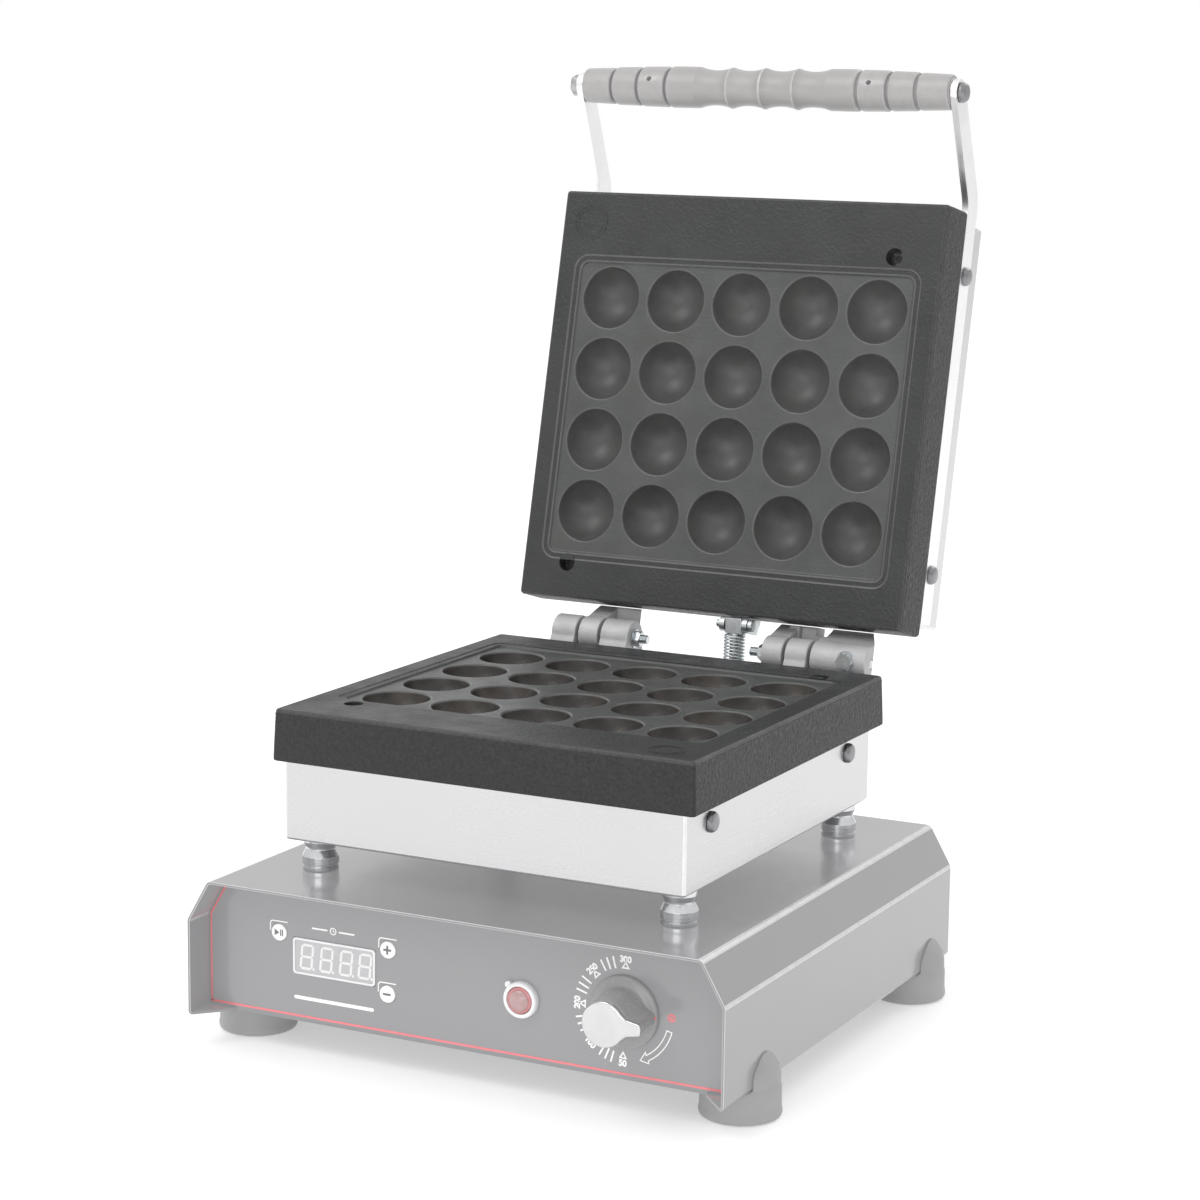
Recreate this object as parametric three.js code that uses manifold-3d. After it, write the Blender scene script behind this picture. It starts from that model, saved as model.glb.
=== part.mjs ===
// Countertop donut-ball maker, lid open. Millimetres, +Z up, front towards -Y.
// The lid group is drawn closed and then swung open about the hinge axis.
import * as THREE from 'three';
import { mergeVertices } from 'three/addons/utils/BufferGeometryUtils.js';
import Module from 'manifold-3d';

const wasm = await Module();
wasm.setup();

// ---------------------------------------------------------------- dimensions
const SHIFT_Y = -220.7;        // puts the outline box's centre on Y = 0
const BODY_W = 330;            // base width
const BODY_D = 319;            // base depth
const BODY_Z0 = 18.8;          // lower edge of the side walls
const BODY_Z1 = 73.7;          // where the chamfer starts
const BODY_Z2 = 97.3;          // base top
const CHAMFER = 13.7;          // chamfer's inset
const SHEET = 1.5;             // sheet thickness of the base
const FLANGE = 18;             // bottom flange width
const PANEL_Y = 20;            // front panel set back from the front edges
const BOX_X = 123.7;           // half width of the stainless boxes
const BOX_Y0 = 36.3;
const BOX_Y1 = 286.2;
const BOX_Z0 = 116.8;          // underside of the lower box
const PLATE_X = 130;           // half width of the plates at the back
const PLATE_DRAFT = 1.2;
const PLATE_Y0 = 33.15;
const PLATE_Y1 = 292.8;
const PLATE_Z0 = 161.6;        // lower plate's underside
const PLATE_Z1 = 191.1;        // lower plate's face
const PART_GAP = 0.5;          // between the closed faces
const PLATE_T2 = 30.6;         // upper plate's thickness
const FIELD_X = 112;           // half width of the sunk field
const FIELD_Y0 = 79.5;
const FIELD_Y1 = 262.5;
const FIELD_DEEP = 2;
const CAV_R = 19.3;            // cavity rim radius
const CAV_DEEP = 17;
const CAV_PX = 45;             // pitch across
const CAV_PY = 45;             // pitch front to back
const CAV_Y0 = 100.8;          // first row of cavities
const HINGE_Y = 312.5;
const HINGE_Z = 192.6;
const LID_OPEN = 103.3;        // degrees from closed to open
const KNUCKLE_R = 11;
const PIN_R = 3;
const KNOB_X = 98.5;
const KNOB_Z = 56.5;
const LAMP_X = 37;
const LAMP_Z = 53.7;
const DISP = [-107.6, -54.8, 46, 67.3];
const BUTTONS = { button_start: [-116.5, 68.5], button_plus: [-46.3, 68.6], button_minus: [-46.6, 43.5] };
const FOOT_R = 22;
const FOOT_X = 151.6;
const FEET_Y = [50.5, 288.5];
const POST_X = 112;
const POST_Y = [55, 270];
const GRIP_Y = -33.6;          // grip axis, lid closed
const GRIP_Z = 193.1;
const ARM_T = 4;
const ARM_W = 16;
const ARM_Z = 235.1;
const SPRING_X = 22;
const SPRING_A = 15;           // rod pivot's distance from the hinge axis
const SPRING_PHI = 80;         // its direction with the lid open, degrees
const SEAT = [312, 147.5];     // where the rod crosses the spring seat

// ------------------------------------------------------------------- helpers
const deg = Math.PI / 180;
const V2 = (a) => new THREE.Vector2(a[0], a[1]);
const clean = (g) => {
  const h = g.clone();
  for (const k of Object.keys(h.attributes)) if (k !== 'position') h.deleteAttribute(k);
  const m = mergeVertices(h, 1e-4);
  const p = m.attributes.position;
  const idx = m.index.array;
  let vol = 0;
  const a = new THREE.Vector3(), b = new THREE.Vector3(), c = new THREE.Vector3();
  const keep = [];
  for (let i = 0; i < idx.length; i += 3) {
    if (idx[i] === idx[i + 1] || idx[i + 1] === idx[i + 2] || idx[i] === idx[i + 2]) continue;
    a.fromBufferAttribute(p, idx[i]); b.fromBufferAttribute(p, idx[i + 1]); c.fromBufferAttribute(p, idx[i + 2]);
    vol += a.dot(b.cross(c)) / 6;
    keep.push(idx[i], idx[i + 1], idx[i + 2]);
  }
  if (vol < 0) for (let i = 0; i < keep.length; i += 3) { const t = keep[i]; keep[i] = keep[i + 1]; keep[i + 1] = t; }
  m.setIndex(keep);
  return m;
};
const toM = (g) => {
  const m = clean(g);
  return new wasm.Manifold(new wasm.Mesh({ numProp: 3, vertProperties: new Float32Array(m.attributes.position.array), triVerts: new Uint32Array(m.index.array) }));
};
const fromM = (m) => {
  const k = m.getMesh();
  const g = new THREE.BufferGeometry();
  const n = k.vertProperties.length / k.numProp;
  const pos = new Float32Array(n * 3);
  for (let i = 0; i < n; i++) for (let j = 0; j < 3; j++) pos[3 * i + j] = k.vertProperties[k.numProp * i + j];
  g.setAttribute('position', new THREE.BufferAttribute(pos, 3));
  g.setIndex(Array.from(k.triVerts));
  return g;
};
const add = (...gs) => fromM(gs.slice(1).reduce((m, g) => m.add(toM(g)), toM(gs[0])));
const sub = (g, ...cs) => fromM(cs.reduce((m, c) => m.subtract(toM(c)), toM(g)));
const box = (x0, x1, y0, y1, z0, z1) => {
  const g = new THREE.BoxGeometry(x1 - x0, y1 - y0, z1 - z0);
  g.translate((x0 + x1) / 2, (y0 + y1) / 2, (z0 + z1) / 2);
  return g;
};
const shapeOf = (pts, holes = []) => {
  const s = new THREE.Shape(pts.map(V2));
  for (const h of holes) s.holes.push(new THREE.Path(h.map(V2)));
  return s;
};
const circ = (cx, cy, r, n, off = 0) => Array.from({ length: n }, (_, i) => [cx + r * Math.cos(2 * Math.PI * (i + off) / n), cy + r * Math.sin(2 * Math.PI * (i + off) / n)]);
const rect = (a, b, c, d) => [[a, c], [b, c], [b, d], [a, d]];
const exZ = (pts, z0, z1, holes) => { const g = new THREE.ExtrudeGeometry(shapeOf(pts, holes), { depth: z1 - z0, bevelEnabled: false }); g.translate(0, 0, z0); return g; };
const exY = (pts, y0, y1, holes) => { const g = new THREE.ExtrudeGeometry(shapeOf(pts, holes), { depth: y1 - y0, bevelEnabled: false }); g.rotateX(Math.PI / 2); g.translate(0, y1, 0); return g; };
const exX = (pts, x0, x1, holes) => {
  const g = new THREE.ExtrudeGeometry(shapeOf(pts, holes), { depth: x1 - x0, bevelEnabled: false });
  g.applyMatrix4(new THREE.Matrix4().makeBasis(new THREE.Vector3(0, 1, 0), new THREE.Vector3(0, 0, 1), new THREE.Vector3(1, 0, 0)));
  g.translate(x0, 0, 0);
  return g;
};
const lathe = (prof, n) => { const g = new THREE.LatheGeometry(prof.map(V2), n); g.rotateX(Math.PI / 2); return g; };   // [r, z] about Z
const latheZ = (prof, n, x, y) => { const g = lathe(prof, n); g.translate(x, y, 0); return g; };
const latheY = (prof, n, x, z) => { const g = new THREE.LatheGeometry(prof.map(V2), n); g.translate(x, 0, z); return g; };  // [r, y] about Y
const latheX = (prof, n, y, z) => { const g = new THREE.LatheGeometry(prof.map(V2), n); g.rotateZ(-Math.PI / 2); g.translate(0, y, z); return g; };  // [r, x] about X
const cylX = (r, x0, x1, y, z, n) => exX(circ(y, z, r, n), x0, x1);
const cylY = (r, y0, y1, x, z, n) => exY(circ(x, z, r, n), y0, y1);
const cylZ = (r, z0, z1, x, y, n) => exZ(circ(x, y, r, n), z0, z1);
const frustum = (b, t, z0, z1) => {   // rectangles [x0, x1, y0, y1] at z0 and z1
  const p = [], q = [[0, 2], [1, 2], [1, 3], [0, 3]];
  for (const [r, z] of [[b, z0], [t, z1]]) for (const [i, j] of q) p.push(r[i], r[j], z);
  const g = new THREE.BufferGeometry();
  g.setAttribute('position', new THREE.BufferAttribute(new Float32Array(p), 3));
  g.setIndex([0, 2, 1, 0, 3, 2, 4, 5, 6, 4, 6, 7, 0, 1, 5, 0, 5, 4, 1, 2, 6, 1, 6, 5, 2, 3, 7, 2, 7, 6, 3, 0, 4, 3, 4, 7]);
  return g;
};

const group = new THREE.Group();
group.name = 'donut_maker';
const put = (name, slot, color, g) => {
  const m = clean(g);
  m.translate(0, SHIFT_Y, 0);
  m.computeVertexNormals();
  const mesh = new THREE.Mesh(m, new THREE.MeshStandardMaterial({ name: slot, color }));
  mesh.name = name;
  group.add(mesh);
};
const swing = new THREE.Matrix4().makeTranslation(0, HINGE_Y, HINGE_Z)
  .multiply(new THREE.Matrix4().makeRotationX(-LID_OPEN * deg))
  .multiply(new THREE.Matrix4().makeTranslation(0, -HINGE_Y, -HINGE_Z));
const putLid = (name, slot, color, g) => { const h = clean(g); h.applyMatrix4(swing); put(name, slot, color, h); };

const GREY = 0xa6a6a8, DARK = 0x8e8e90, STEEL = 0xd8d9da, BLACK = 0x2b2b2c, CAST = 0xb4b4b6, ZINC = 0xc4ccd0, GRIPC = 0xa39f9b, CHROME = 0xeeeeee;

// ---------------------------------------------------------------------- base
const HW = BODY_W / 2;
const outer = [[-HW, BODY_Z0], [-HW, BODY_Z1], [-HW + CHAMFER, BODY_Z2], [HW - CHAMFER, BODY_Z2], [HW, BODY_Z1], [HW, BODY_Z0],
  [HW - FLANGE, BODY_Z0], [HW - FLANGE, BODY_Z0 + SHEET], [HW - SHEET, BODY_Z0 + SHEET], [HW - SHEET, BODY_Z1 - 0.4], [HW - CHAMFER - 0.9, BODY_Z2 - SHEET],
  [-HW + CHAMFER + 0.9, BODY_Z2 - SHEET], [-HW + SHEET, BODY_Z1 - 0.4], [-HW + SHEET, BODY_Z0 + SHEET], [-HW + FLANGE, BODY_Z0 + SHEET], [-HW + FLANGE, BODY_Z0]];
const mitre = (s) => [
  exZ([[s * (HW - SHEET), -1], [s * (HW - FLANGE - 1), -1], [s * (HW - FLANGE - 1), FLANGE]], BODY_Z0 - 1, BODY_Z0 + SHEET + 0.01),
  exZ([[s * (HW - SHEET), BODY_D + 1], [s * (HW - FLANGE - 1), BODY_D + 1], [s * (HW - FLANGE - 1), BODY_D - FLANGE]], BODY_Z0 - 1, BODY_Z0 + SHEET + 0.01)];
put('base_housing', 'body_enamel', GREY, sub(exY(outer, 0, BODY_D), ...mitre(1), ...mitre(-1)));

const PX = HW - SHEET - 0.3, PC = HW - CHAMFER - 1.1, PF = HW - FLANGE - 0.3, PZ = BODY_Z0 + SHEET + 0.3;
const panelPts = [[-PX, PZ], [-PF, PZ], [-PF, BODY_Z0], [PF, BODY_Z0], [PF, PZ], [PX, PZ], [PX, BODY_Z1 - 0.6], [PC, BODY_Z2 - SHEET - 0.3], [-PC, BODY_Z2 - SHEET - 0.3], [-PX, BODY_Z1 - 0.6]];
const overlayPts = [[-PX + 0.4, PZ + 0.3], [PX - 0.4, PZ + 0.3], [PX - 0.4, BODY_Z1 - 0.8], [PC - 0.4, BODY_Z2 - SHEET - 0.8], [-PC + 0.4, BODY_Z2 - SHEET - 0.8], [-PX + 0.4, BODY_Z1 - 0.8]];
const panelHoles = [
  circ(KNOB_X, KNOB_Z, 4.6, 12), circ(LAMP_X, LAMP_Z, 6.5, 12), rect(DISP[0] + 0.2, DISP[1] - 0.2, DISP[2] + 0.2, DISP[3] - 0.2),
  ...Object.values(BUTTONS).map((b) => circ(b[0], b[1], 5.3, 14))];
put('front_panel', 'body_enamel', GREY, exY(panelPts, PANEL_Y, PANEL_Y + SHEET, panelHoles));
put('control_overlay', 'overlay_film', DARK, exY(overlayPts, PANEL_Y - 0.8, PANEL_Y - 0.3, panelHoles));
const vents = [-60, -36, -12, 12, 36, 60].map((x) => rect(x - 2.5, x + 2.5, 40, 76));
put('rear_panel', 'body_enamel', GREY, sub(exY(panelPts, BODY_D - 4, BODY_D - 2.5), ...vents.map((v) => exY(v, BODY_D - 6, BODY_D))));
put('base_plate', 'body_enamel', GREY, box(-PX, PX, PANEL_Y + SHEET + 0.3, BODY_D - 4.3, PZ, PZ + SHEET));

for (const [sy, y] of [['front', FEET_Y[0]], ['rear', FEET_Y[1]]]) for (const [sx, s] of [['left', -1], ['right', 1]]) {
  const x = s * FOOT_X, n = 24, wall = HW + 0.3;
  const puck = latheZ([[0, 0], [FOOT_R - 1.6, 0], [FOOT_R, 2.2], [FOOT_R - 0.6, BODY_Z0 - 0.3], [0, BODY_Z0 - 0.3]], n, x, y);
  const tab = latheZ([[0, 10], [FOOT_R - 0.8, 10], [FOOT_R - 0.8, 24], [FOOT_R - 2, 28], [13, 38.2], [0, 38.2]], n, x, y);
  const lim = exY([[s * wall, 9], [s * wall, 50], [s * (FOOT_X + 30), 50], [s * (FOOT_X + 30), 9]], y - 30, y + 30);
  put(`foot_${sy}_${sx}`, 'foot_rubber', DARK, fromM(toM(tab).intersect(toM(lim)).add(toM(puck))));
}

for (const [sy, y] of [['front', POST_Y[0]], ['rear', POST_Y[1]]]) for (const [sx, s] of [['left', -1], ['right', 1]]) {
  const a = BODY_Z2 + 0.2, b = BOX_Z0 - 0.2;
  put(`post_${sy}_${sx}`, 'stainless_turned', STEEL, latheZ([[0, a], [10.4, a], [10.4, a + 7.8], [8.4, a + 12], [8.4, a + 13], [9.8, a + 16], [9.9, b], [0, b]], 14, s * POST_X, y));
}

// ----------------------------------------------------------------- lower box
const boxHole = [[67.1, 151.5], [253.1, 151.5]];
const tray = (z0, z1, openUp) => sub(box(-BOX_X, BOX_X, BOX_Y0, BOX_Y1, z0, z1),
  box(-BOX_X + 1.2, BOX_X - 1.2, BOX_Y0 + 1.2, BOX_Y1 - 1.2, openUp ? z0 + 1.2 : z0 - 1, openUp ? z1 + 1 : z1 - 1.2));
put('lower_housing', 'stainless', STEEL, sub(tray(BOX_Z0, PLATE_Z0 - 0.3, true), ...boxHole.map(([y, z]) => cylX(3.3, -BOX_X - 1, BOX_X + 1, y, z, 8))));
const heatPath = (z, up) => {
  const p = [[-22, 66], [-22, 90], [-40, 100], [-95, 100], [-100, 130], [-95, 160], [60, 160], [95, 160], [100, 195], [95, 230], [-60, 230], [-95, 235], [-100, 255], [-80, 266], [80, 266], [108, 255], [112, 200], [112, 120], [95, 100], [40, 100], [22, 90], [22, 66]];
  const pts = p.map(([x, y]) => new THREE.Vector3(x, y, z));
  const curve = new THREE.CatmullRomCurve3(pts, false, 'catmullrom', 0.35);
  return new THREE.ExtrudeGeometry(shapeOf(circ(0, 0, 3.9, 5)), { steps: 40, bevelEnabled: false, extrudePath: curve });
};
put('lower_heating_element', 'element_sheath', 0x6b675f, heatPath(PLATE_Z0 - 4.5));

const cavity = (x, y, z, n, up) => {
  // spherical cap: rim radius CAV_R at the field's floor, CAV_DEEP deep
  const R = (CAV_R * CAV_R + CAV_DEEP * CAV_DEEP) / (2 * CAV_DEEP);
  const prof = [[0, -CAV_DEEP]];
  for (const k of [0.38, 0.7, 0.92]) { const r = CAV_R * k; prof.push([r, -(CAV_DEEP - (R - Math.sqrt(R * R - r * r)))]); }
  prof.push([CAV_R, 0], [CAV_R, 3], [0, 3]);
  const g = lathe(prof.map(([r, h]) => [r, up ? h : -h]), n);
  g.translate(x, y, z);
  return g;
};
const screwAt = (up) => (up ? [[-98, 67.5], [98, 269.5]] : [[98, 67.5], [-98, 269.5]]);
const plate = (up) => {
  // up: cooking face looks up (lower plate); otherwise it looks down (upper plate, lid closed)
  const z0 = up ? PLATE_Z0 : PLATE_Z1 + PART_GAP, z1 = up ? PLATE_Z1 : PLATE_Z1 + PART_GAP + PLATE_T2;
  const wide = [-PLATE_X, PLATE_X, PLATE_Y0, PLATE_Y1], d = PLATE_DRAFT;
  const tight = [-PLATE_X + d, PLATE_X - d, PLATE_Y0 + d, PLATE_Y1 - d];
  const face = up ? z1 : z0, floor = up ? z1 - FIELD_DEEP : z0 + FIELD_DEEP;
  const cuts = [box(-FIELD_X, FIELD_X, FIELD_Y0, FIELD_Y1, Math.min(face, floor) - (up ? 0 : 1), Math.max(face, floor) + (up ? 1 : 0))];
  for (let i = -2; i <= 2; i++) for (let j = 0; j < 4; j++) cuts.push(cavity(i * CAV_PX, CAV_Y0 + j * CAV_PY, floor, 12, up));
  for (const [x, y] of screwAt(up)) {
    cuts.push(cylZ(5.2, Math.min(face, face + (up ? -8 : 8)), Math.max(face, face + (up ? -8 : 8)) + 0, x, y, 10));
    cuts.push(cylZ(5.2, up ? face - 0.5 : face - 1, up ? face + 1 : face + 0.5, x, y, 10));
  }
  return fromM(cuts.reduce((m, c) => m.subtract(toM(c)), toM(frustum(up ? wide : tight, up ? tight : wide, z0, z1))));
};
put('lower_plate', 'cast_plate', BLACK, plate(true));
const screw = (up) => screwAt(up).map(([x, y]) => {
  const f = up ? PLATE_Z1 - 8 + 0.1 : PLATE_Z1 + PART_GAP + 8 - 0.1, k = up ? 1 : -1;
  return sub(exZ(circ(x, y, 4.6, 12), Math.min(f, f + 4 * k), Math.max(f, f + 4 * k)),
    exZ(circ(x, y, 2.2, 6), Math.min(f + 2 * k, f + 5 * k), Math.max(f + 2 * k, f + 5 * k)));
});
screw(true).forEach((g, i) => put(`lower_plate_screw_${i + 1}`, 'stainless_turned', STEEL, g));
const sideBolt = (s, y, z, inner, face) => {
  const prof = [[0, inner], [2.9, inner], [2.9, face + 0.2], [5.8, face + 0.2], [5.8, face + 1.2], [4.3, face + 3.1], [0, face + 3.9]];
  return latheX(s > 0 ? prof : prof.map(([r, x]) => [r, -x]), 12, y, z);
};
for (const [sy, [y, z]] of [['front', boxHole[0]], ['rear', boxHole[1]]]) for (const [sx, s] of [['left', -1], ['right', 1]])
  put(`lower_bolt_${sy}_${sx}`, 'stainless_turned', STEEL, sideBolt(s, y, z, BOX_X - 6, BOX_X));

// ----------------------------------------------------------------------- lid
const LZ0 = PLATE_Z1 + PART_GAP, LZ1 = LZ0 + PLATE_T2, LZ2 = LZ1 + 44.8;
const lidHole = [[253.8, ARM_Z], [70.5, ARM_Z]];
putLid('upper_plate', 'cast_plate', BLACK, plate(false));
screw(false).forEach((g, i) => putLid(`upper_plate_screw_${i + 1}`, 'stainless_turned', STEEL, g));
putLid('lid_housing', 'stainless', STEEL, sub(tray(LZ1 + 0.3, LZ2, false), ...lidHole.map(([y, z]) => cylX(3.3, -BOX_X - 1, BOX_X + 1, y, z, 8))));
putLid('upper_heating_element', 'element_sheath', 0x6b675f, heatPath(LZ1 + 4.6));
const armPts = () => {
  const a = [284.3, ARM_Z], b = [24.9, ARM_Z], c = [GRIP_Y, GRIP_Z], h = ARM_W / 2;
  const u = [c[0] - b[0], c[1] - b[1]], L = Math.hypot(...u), d = [u[0] / L, u[1] / L];
  const nrm = [d[1], -d[0]];                     // right of the travel direction: the upper side when closed
  const half = Math.tan(Math.atan2(-d[1], -d[0]) / 2) * h;
  const pts = [[a[0], a[1] - h], [a[0], a[1] + h], [b[0] - half * -1 * -1, b[1] + h]];
  const base = Math.atan2(nrm[1], nrm[0]);
  for (let i = 0; i <= 6; i++) { const t = base + Math.PI * i / 6; pts.push([c[0] + h * Math.cos(t), c[1] + h * Math.sin(t)]); }
  pts.push([b[0] + half, b[1] - h]);
  return pts;
};
for (const [sx, s] of [['left', -1], ['right', 1]]) {
  const x0 = s > 0 ? BOX_X + 0.3 : -BOX_X - 0.3 - ARM_T;
  const holes = [circ(GRIP_Y, GRIP_Z, 4.2, 10), ...lidHole.map(([y, z]) => circ(y, z, 3.3, 8))];
  putLid(`handle_arm_${sx}`, 'stainless', STEEL, exX(armPts(), x0, x0 + ARM_T, holes));
}
const XA = BOX_X + 0.3 + ARM_T;
for (const [sy, [y, z]] of [['rear', lidHole[0]], ['front', lidHole[1]]]) for (const [sx, s] of [['left', -1], ['right', 1]])
  putLid(`arm_bolt_${sy}_${sx}`, 'stainless_turned', STEEL, sideBolt(s, y, z, BOX_X - 6, XA));
putLid('handle_rod', 'stainless_turned', STEEL, latheX([[0, -XA - 5.5], [3.9, -XA - 5.5], [3.9, XA + 0.3], [6.2, XA + 0.3], [6.2, XA + 2], [4.4, XA + 4], [0, XA + 4.8]], 12, GRIP_Y, GRIP_Z));
putLid('handle_nut', 'stainless_turned', STEEL, exX(circ(GRIP_Y, GRIP_Z, 6.9, 6), -XA - 5.2, -XA - 0.3, [circ(GRIP_Y, GRIP_Z, 4.25, 12)]));
const gripHalf = () => {
  // [r, |x|] from the middle out
  const p = [];
  for (const c of [0, 22]) p.push([12.6, c], [10.8, c + 8], [10.8, c + 14]);
  p.push([12.6, 44], [12.8, 62.5], [11.6, 64.3], [12.6, 66], [12.4, 82], [11.2, 84], [12, 85.8], [11.6, 100.5], [10.4, 102.4], [11.2, 104.2], [10.6, 120], [8.6, 123], [4.4, 123.4]);
  return p;
};
const gh = gripHalf();
const gripProf = [...gh.slice(1).map(([r, x]) => [r, -x]).reverse(), ...gh, [4.4, 0], [4.4, -123.4]];
putLid('handle_grip', 'grip_plastic', GRIPC, latheX(gripProf, 12, GRIP_Y, GRIP_Z));

// -------------------------------------------------------------------- hinges
const arc = (r, a0, a1, n) => Array.from({ length: n + 1 }, (_, i) => { const t = (a0 + (a1 - a0) * i / n) * deg; return [HINGE_Y + r * Math.cos(t), HINGE_Z + r * Math.sin(t)]; });
const bore = (x0, x1) => cylX(PIN_R + 0.25, x0, x1, HINGE_Y, HINGE_Z, 12);
const YW = BOX_Y1 + 0.3, YP = PLATE_Y1 + 0.5;
const baseKnuckle = [[YW, 122], [YW, 158], [YP, 160.5], [YP, 178], ...arc(KNUCKLE_R, 180, 0, 8), [HINGE_Y + KNUCKLE_R, 180], [YW + 10, 122]];
const baseWeb = [[YW, 122], [YW, 158], [YP, 160.5], [YP, 175.5], [HINGE_Y - 2, 175.5], [HINGE_Y + 3, 172], [YW + 10, 122]];
put('hinge_base_left', 'hinge_casting', CAST, sub(add(exX(baseWeb, -98, -45), exX(baseKnuckle, -98, -81.6), exX(baseKnuckle, -64, -45)), bore(-99, -44)));
put('hinge_base_right', 'hinge_casting', CAST, sub(add(exX(baseWeb, 46, 112), exX(baseKnuckle, 60.6, 75)), bore(45, 113)));
const lidKnuckle = [...arc(KNUCKLE_R, 180, 360, 8), [HINGE_Y + KNUCKLE_R, 198], [YP + 12, 220], [YP, 220], [YP, 208]];
const lidFoot = [[YP, 207], [YP, 220], [YP + 10, 220], [YP + 11, 207]];
const taper = (x) => exY([[x, 194], [x + 30, 194], [x + 30, 262], [x - 34, 262]], YP - 2, HINGE_Y + 20);   // right flank leans in away from the axis
put('hinge_pin_left', 'zinc_fastener', ZINC, latheX([[0, -97.8], [PIN_R - 0.05, -97.8], [PIN_R - 0.05, -44.7], [5.2, -44.7], [5.2, -40.2], [PIN_R - 0.2, -40.2], [PIN_R - 0.2, -36], [0, -36]], 12, HINGE_Y, HINGE_Z));
putLid('hinge_lid_left', 'hinge_casting', CAST, sub(add(exX(lidFoot, -67, -43.5), exX(lidKnuckle, -79.4, -66.2)), bore(-80, -43), taper(-43.2)));
const clampX = 100.3, clampAng = 180 + LID_OPEN;      // clamp screw faces the front with the lid open
const clampHole = () => { const g = cylY(3.2, -14, -2.5, clampX, 0, 10); g.translate(0, 0, 2); g.rotateX(LID_OPEN * deg); g.translate(0, HINGE_Y, HINGE_Z); return g; };
const clampScrew = () => { const g = add(cylY(2.9, -11.6, -3.5, clampX, 0, 10), cylY(5.6, -15.2, -11.4, clampX, 0, 6)); g.translate(0, 0, 2); g.rotateX(LID_OPEN * deg); g.translate(0, HINGE_Y, HINGE_Z); return g; };
putLid('hinge_lid_right', 'hinge_casting', CAST, sub(add(exX(lidFoot, 53, 113), exX(lidKnuckle, 45, 58.6), exX(lidKnuckle, 77, 113)), bore(44, 114), clampHole(), box(69.4, 80.2, 290, 298.9, 200, 223), taper(113.2)));
putLid('hinge_pin_right', 'zinc_fastener', ZINC, latheX([[0, 33.8], [PIN_R - 0.2, 33.8], [PIN_R - 0.2, 40], [5.2, 40], [5.2, 44.7], [PIN_R - 0.05, 44.7], [PIN_R - 0.05, 112.6], [0, 112.6]], 12, HINGE_Y, HINGE_Z));
putLid('hinge_clamp_screw', 'zinc_fastener', ZINC, clampScrew());

// ----------------------------------------------------- lid balance spring set
const AX = [HINGE_Y + SPRING_A * Math.cos(SPRING_PHI * deg), HINGE_Z + SPRING_A * Math.sin(SPRING_PHI * deg)];
const AXC = [HINGE_Y + SPRING_A * Math.cos((SPRING_PHI + LID_OPEN) * deg), HINGE_Z + SPRING_A * Math.sin((SPRING_PHI + LID_OPEN) * deg)];
const rodTilt = Math.atan2(SEAT[0] - AX[0], AX[1] - SEAT[1]);     // lower end's lean in +Y
const rodLen = Math.hypot(AX[0] - SEAT[0], AX[1] - SEAT[1]);
const onRod = (g) => { const h = g.clone(); h.rotateX(rodTilt); h.translate(0, AX[0], AX[1]); return h; };   // drawn with the pivot at the origin, rod down -Z
const eye = sub(add(box(SPRING_X - 5.4, SPRING_X + 5.4, -3.5, 3.5, -5, 4.5), cylZ(PIN_R, -76, -4, SPRING_X, 0, 10)), cylX(2.6, SPRING_X - 7, SPRING_X + 7, 0, 0, 10));
put('spring_rod', 'zinc_fastener', ZINC, onRod(eye));
put('spring_rod_nut', 'zinc_fastener', ZINC, onRod(exZ(circ(SPRING_X, 0, 6.2, 6), -rodLen - 8.4, -rodLen - 3.1, [circ(SPRING_X, 0, PIN_R + 0.25, 10)])));
put('counter_spring', 'spring_wire', ZINC, onRod(exZ(circ(SPRING_X, 0, 6.2, 12), -rodLen + 2.6, -5.3, [circ(SPRING_X, 0, 4.4, 12)])));
put('spring_seat', 'zinc_fastener', ZINC, sub(add(box(6, 38, YW, YW + 3, 122, 149.5), box(6, 38, YW, 324, 146.5, 149.5), exX([[YW + 2, 124], [YW + 2, 147], [318, 147]], 6, 9), exX([[YW + 2, 124], [YW + 2, 147], [318, 147]], 35, 38)),
  exZ([[SPRING_X - 3.7, 304.6], [SPRING_X + 3.7, 304.6], [SPRING_X + 3.7, 316.6], [SPRING_X - 3.7, 316.6]], 140, 155)));
const ear = [...Array.from({ length: 7 }, (_, i) => { const t = (180 + 180 * i / 6) * deg; return [AXC[0] + 4.6 * Math.cos(t), AXC[1] + 4.6 * Math.sin(t)]; }), [AXC[0] + 5.4, 219], [YP, 220], [YP, 200]];
const earHole = () => cylX(2.6, 5, 40, AXC[0], AXC[1], 10);
putLid('spring_lug', 'zinc_fastener', ZINC, sub(add(exX(ear, SPRING_X - 9.2, SPRING_X - 5.8), exX(ear, SPRING_X + 5.8, SPRING_X + 9.2), box(SPRING_X - 9.2, SPRING_X + 9.2, YP, YP + 3, 209, 220)), earHole()));
putLid('spring_cross_pin', 'zinc_fastener', ZINC, latheX([[0, SPRING_X - 12], [2.35, SPRING_X - 12], [2.35, SPRING_X + 9.5], [4, SPRING_X + 9.5], [4, SPRING_X + 12.3], [0, SPRING_X + 12.3]], 10, AXC[0], AXC[1]));

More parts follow.
